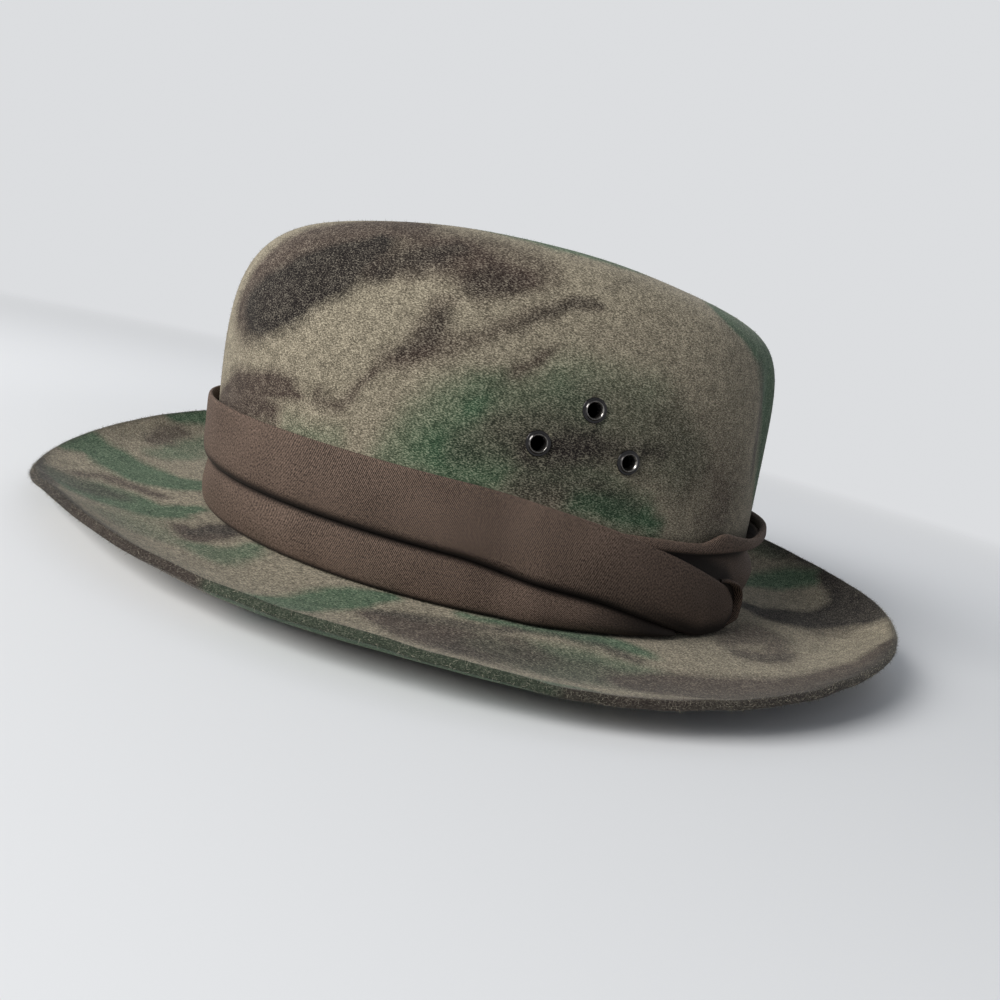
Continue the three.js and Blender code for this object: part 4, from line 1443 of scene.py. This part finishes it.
def set_plain(shader, values):
    """Numbers and colours that are the same all over, set on the shader's own sockets."""
    for key, value in values.items():
        shader.inputs[key].default_value = value


# %% [markdown]
# ### Felt grain
#
# Felt is matted wool: close up it is a grain of pale fibre tips over dark gaps, less than a
# millimetre apart, brushed a little one way, with slow cloudy changes of tone. The grain is
# the sum of a fine noise and a coarser one. The group gives its tips, its gaps, its height
# and the clouds.

# %% Felt grain
BRUSHED_TURN = (math.radians(-45), 0, 0)
BRUSHED_SCALE = (1, 0.6, 1.25)
FINENESS = 2500.0
FINE = {"detail": 2.0, "roughness": 0.62, "distortion": 0.35}
FINE_SHARE = 0.82
TUFT = {"scale": 330.0, "detail": 2.0, "roughness": 0.6}
CLOUD = {"scale": 34.0, "detail": 4.0, "roughness": 0.6}
TIPS_RANGE = (0.5, 0.62)
GAPS_RANGE = (0.5, 0.38)

grain, grain_in, grain_out = new_group(
    "felt_grain",
    {"Place": ("Vector", None), "Fineness": ("Float", FINENESS)},
    {"Tips": "Float", "Gaps": "Float", "Height": "Float", "Cloud": "Float", "Grain": "Float"})
place = grain_in.outputs["Place"]
brushed = grain.nodes.new("ShaderNodeMapping")
brushed.inputs["Rotation"].default_value = BRUSHED_TURN
brushed.inputs["Scale"].default_value = BRUSHED_SCALE
grain.links.new(place, brushed.inputs["Vector"])
fine = noise(grain, brushed.outputs["Vector"], grain_in.outputs["Fineness"], **FINE)
tuft = noise(grain, place, **TUFT)
both = math_node(grain, "ADD", product(grain, fine, FINE_SHARE), product(grain, tuft, 1 - FINE_SHARE))
given = {
    "Grain": both,
    "Tips": remap(grain, both, *TIPS_RANGE),
    "Gaps": remap(grain, both, *GAPS_RANGE),
    "Height": both,
    "Cloud": noise(grain, place, **CLOUD),
}
for key, value in given.items():
    grain.links.new(value, grain_out.inputs[key])
print("grain group", len(grain.nodes), "nodes")

# %% [markdown]
# ### Sprayed dye
#
# Dye is sprayed through a stencil, so a stroke ends in specks. The group lays one dye over a
# ground. Where the stroke's mask is neither full nor empty, the grain and the clouds push it
# up or down before it mixes the two colours: mask times one minus mask says how far.

# %% Sprayed dye
SPECK = -2.4
DRIFT = 3.0
SPRAY_GAIN = 1.4

spray, spray_in, spray_out = new_group(
    "sprayed_dye",
    {"Ground": ("Color", (0.3, 0.25, 0.17, 1)), "Dye": ("Color", (0.05, 0.1, 0.05, 1)),
     "Mask": ("Float", 0.0), "Grain": ("Float", 0.5), "Cloud": ("Float", 0.5)},
    {"Color": "Color"})
mask = spray_in.outputs["Mask"]
partly = product(spray, mask, math_node(spray, "SUBTRACT", 1.0, mask))
speck = product(spray, math_node(spray, "SUBTRACT", spray_in.outputs["Grain"], 0.5), SPECK)
drift = product(spray, math_node(spray, "SUBTRACT", spray_in.outputs["Cloud"], 0.5), DRIFT)
shift = product(spray, partly, math_node(spray, "ADD", speck, drift))
share = math_node(spray, "ADD", product(spray, mask, SPRAY_GAIN), shift, clamp=True)
spray.links.new(mix_colour(spray, share, spray_in.outputs["Ground"], spray_in.outputs["Dye"]),
                spray_out.inputs["Color"])
print("spray group", len(spray.nodes), "nodes")

# %% [markdown]
# ### Printed felt
#
# The tan ground takes the three dyes one after another. The inside and the cut edge are drawn
# towards colours of their own, then the fibre tips lighten the felt and the gaps darken it,
# less on the cut edge, where the fibres stand as real spikes. A faint sheen stands for the fuzz.

# %% Printed felt
FELT_COLOURS = {
    "tan": srgb(125, 117, 101),
    "green": srgb(62, 86, 64),
    "brown": srgb(66, 55, 49),
    "dark": srgb(32, 27, 26),
    "edge": srgb(50, 46, 43),
    "inside": srgb(112, 104, 90),
    "tip": srgb(196, 188, 168),
}
OVERLAYS = {"inside": ("inside", 0.7), "cut_edge": ("edge", 0.7)}
TIP_SHARE = 0.14
TIP_LIGHT = 1.65
GAP_SHADE = 0.4
EDGE_GRAIN = 0.45
CLOUD_RANGE = (0.3, 0.7)
CLOUD_SHADE = (0.9, 1.1)
FELT_RELIEF = {"strength": 0.6, "distance": 0.00035}
FELT_PLAIN = {
    "Roughness": 0.95,
    "Specular IOR Level": 0.12,
    "Sheen Weight": 0.12,
    "Sheen Roughness": 0.4,
    "Sheen Tint": (0.9, 0.9, 0.85, 1),
}

felt_finish, tree, shader = new_material("printed_felt")
coordinates = tree.nodes.new("ShaderNodeTexCoord").outputs["Object"]
grained = place_group(tree, grain, {"Place": coordinates}).outputs
colour = FELT_COLOURS["tan"]
for dye in DYES:
    colour = place_group(tree, spray, {
        "Ground": colour, "Dye": FELT_COLOURS[dye], "Mask": mask_node(tree, dye),
        "Grain": grained["Grain"], "Cloud": grained["Cloud"]}).outputs["Color"]
for where, (paint, share) in OVERLAYS.items():
    colour = mix_colour(tree, product(tree, mask_node(tree, where), share), colour, FELT_COLOURS[paint])
calm = remap(tree, mask_node(tree, "cut_edge"), 0.0, 1.0, 1.0, EDGE_GRAIN)
pale = product(tree, grained["Tips"], calm)
hollow = product(tree, grained["Gaps"], calm)
tips = math_node(tree, "MAXIMUM", product(tree, pale, TIP_SHARE), mask_node(tree, "stray"))
colour = mix_colour(tree, tips, colour, FELT_COLOURS["tip"])
light_tips = remap(tree, pale, 0.0, 1.0, 1.0, TIP_LIGHT)
gaps = remap(tree, hollow, 0.0, 1.0, 1.0, GAP_SHADE)
colour = shade(tree, colour, product(tree, light_tips, gaps))
colour = shade(tree, colour, remap(tree, grained["Cloud"], *CLOUD_RANGE, *CLOUD_SHADE))
tree.links.new(colour, shader.inputs["Base Color"])
add_relief(tree, shader, grained["Height"], **FELT_RELIEF)
set_plain(shader, FELT_PLAIN)
for piece in (felt_hat, fibres):
    piece.data.materials.clear()
    piece.data.materials.append(felt_finish)
print("printed felt", len(tree.nodes), "nodes")

# %% [markdown]
# ### Twill
#
# The band's cloth is a fine twill: its threads step over each other so that narrow ridges run
# across it at a slant. The pattern has to follow the folds, so it reads the cloth's own
# length and width from the UV map. The ridge group adds a slanting wave, a faint wave across
# and an uneven thread, and gives a tone and a height.

# %% Twill ridges
PITCH = 0.00072
SLANT_WAVE = 0.16
CROSS_WAVE = 0.05
THREAD = {"scale": 1500.0, "detail": 3.0, "roughness": 0.8}
PATCH = {"scale": 60.0, "detail": 2.0, "roughness": 0.5}
THREAD_SHARE = 0.88
TONE_RANGE = (0.37, 0.66)

twill, twill_in, twill_out = new_group(
    "twill_ridges",
    {"Cloth": ("Vector", None), "Pitch": ("Float", PITCH)},
    {"Tone": "Float", "Height": "Float"})
axes_node = twill.nodes.new("ShaderNodeSeparateXYZ")
twill.links.new(twill_in.outputs["Cloth"], axes_node.inputs["Vector"])
along_cloth, across_cloth = axes_node.outputs["X"], axes_node.outputs["Y"]


def thread_wave(place, turns):
    """The sine of a place on the cloth, so many full turns to the pitch."""
    steps = math_node(twill, "DIVIDE", place, twill_in.outputs["Pitch"])
    return math_node(twill, "SINE", product(twill, steps, turns * 2 * math.pi))


slanting = thread_wave(math_node(twill, "ADD", along_cloth, across_cloth), 1)
crossing = thread_wave(across_cloth, 2)
height = math_node(twill, "ADD", product(twill, slanting, SLANT_WAVE), product(twill, crossing, CROSS_WAVE))
height = math_node(twill, "ADD", height, noise(twill, twill_in.outputs["Cloth"], **THREAD))
patch = noise(twill, twill_in.outputs["Cloth"], **PATCH)
tone = math_node(twill, "ADD", product(twill, height, THREAD_SHARE), product(twill, patch, 1 - THREAD_SHARE))
twill.links.new(remap(twill, tone, *TONE_RANGE), twill_out.inputs["Tone"])
twill.links.new(height, twill_out.inputs["Height"])
print("twill group", len(twill.nodes), "nodes")

# %% [markdown]
# Deep in a fold and under other cloth the twill lies in nearly black shade. The lamps alone
# don't give it, because soft light reaches into the modelled folds more than into real ones, so
# the mask paints that shade into the colour.

# %% Brown twill
TWILL_DARK = srgb(14, 10, 8)
TWILL_LIGHT = srgb(124, 105, 93)
TWILL_PAINTED_SHADE = srgb(13, 10, 9)
FOLD_SHADE = 0.93
TWILL_RELIEF = {"strength": 0.5, "distance": 0.0001}
TWILL_PLAIN = {
    "Roughness": 0.82,
    "Specular IOR Level": 0.12,
    "Sheen Weight": 0.05,
    "Sheen Roughness": 0.4,
    "Sheen Tint": (0.85, 0.72, 0.64, 1),
}

band_finish, tree, shader = new_material("brown_twill")
cloth_map = tree.nodes.new("ShaderNodeUVMap")
cloth_map.uv_map = "cloth"
woven = place_group(tree, twill, {"Cloth": cloth_map.outputs["UV"]}).outputs
cloth_colour = mix_colour(tree, woven["Tone"], TWILL_DARK, TWILL_LIGHT)
# Painted shade: the mask mixes the cloth towards nearly black in its folds and under other cloth.
painted_shade_share = product(tree, mask_node(tree, "painted_shade"), FOLD_SHADE)
tree.links.new(mix_colour(tree, painted_shade_share, cloth_colour, TWILL_PAINTED_SHADE), shader.inputs["Base Color"])
add_relief(tree, shader, woven["Height"], **TWILL_RELIEF)
set_plain(shader, TWILL_PLAIN)
for piece in (upper_pleat, lower_pleat, rear_wrap, tuck_fold):
    piece.data.materials.append(band_finish)
print("twill on", band_finish.users, "pieces")

# %% [markdown]
# ### Dark plated metal
#
# The eyelets are dark gunmetal, dulled inside, with a bright ring on the crest, partly wear and partly a
# painted highlight. One grey metal would do from far off; close up, two noises make the ring and the gloss
# uneven.

# %% Eyelet metal
METAL_DARK = srgb(26, 24, 25)
METAL_WEAR_AND_HIGHLIGHT = srgb(150, 146, 142)
RING_NOISE = {"scale": 900.0, "detail": 4.0, "roughness": 0.7}
RING_NOISE_RANGE = (0.45, 0.72)
RING_EXTRA = 0.5
DULL = {"scale": 600.0, "detail": 3.0, "roughness": 0.6}
DULL_RANGE = (0.3, 0.7)
METAL_ROUGHNESS = (0.14, 0.32)

metal_finish, tree, shader = new_material("gunmetal_plate")
coordinates = tree.nodes.new("ShaderNodeTexCoord").outputs["Object"]
# Wear and painted highlight: the bright colour on the crest, made uneven by a noise.
ring_noise = math_node(tree, "ADD", remap(tree, noise(tree, coordinates, **RING_NOISE), *RING_NOISE_RANGE), RING_EXTRA)
ring_share = math_node(tree, "MULTIPLY", ring_noise, mask_node(tree, "wear_and_highlight"), clamp=True)
tree.links.new(mix_colour(tree, ring_share, METAL_DARK, METAL_WEAR_AND_HIGHLIGHT), shader.inputs["Base Color"])
dull = remap(tree, noise(tree, coordinates, **DULL), *DULL_RANGE, *METAL_ROUGHNESS)
tree.links.new(dull, shader.inputs["Roughness"])
set_plain(shader, {"Metallic": 0.9, "Coat Weight": 0.5, "Coat Roughness": 0.1})
for piece in eyelets.values():
    piece.data.materials.append(metal_finish)
print("metal on", metal_finish.users, "eyelets")

# %% [markdown]
# ## What each piece stands for
#
# Every fine piece takes the place of one imported piece and rides on the hat's one body. The
# band's flat sizes, the length round the hat and the width of the folded cloth, were measured on
# the modelled strips as they were built.

# %% Pieces in the frame
replaced = {
    "felt_body": (felt_hat, "felt"),
    "band_upper_pleat": (upper_pleat, "band_cloth"),
    "band_lower_pleat": (lower_pleat, "band_cloth"),
    "band_rear_wrap": (rear_wrap, "band_cloth"),
    "band_tuck_fold": (tuck_fold, "band_cloth"),
    **{name: (piece, "eyelet_metal") for name, piece in eyelets.items()},
}
for node, (piece, slot) in replaced.items():
    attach(piece, "root")
    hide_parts(node)
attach(fibres, "root")
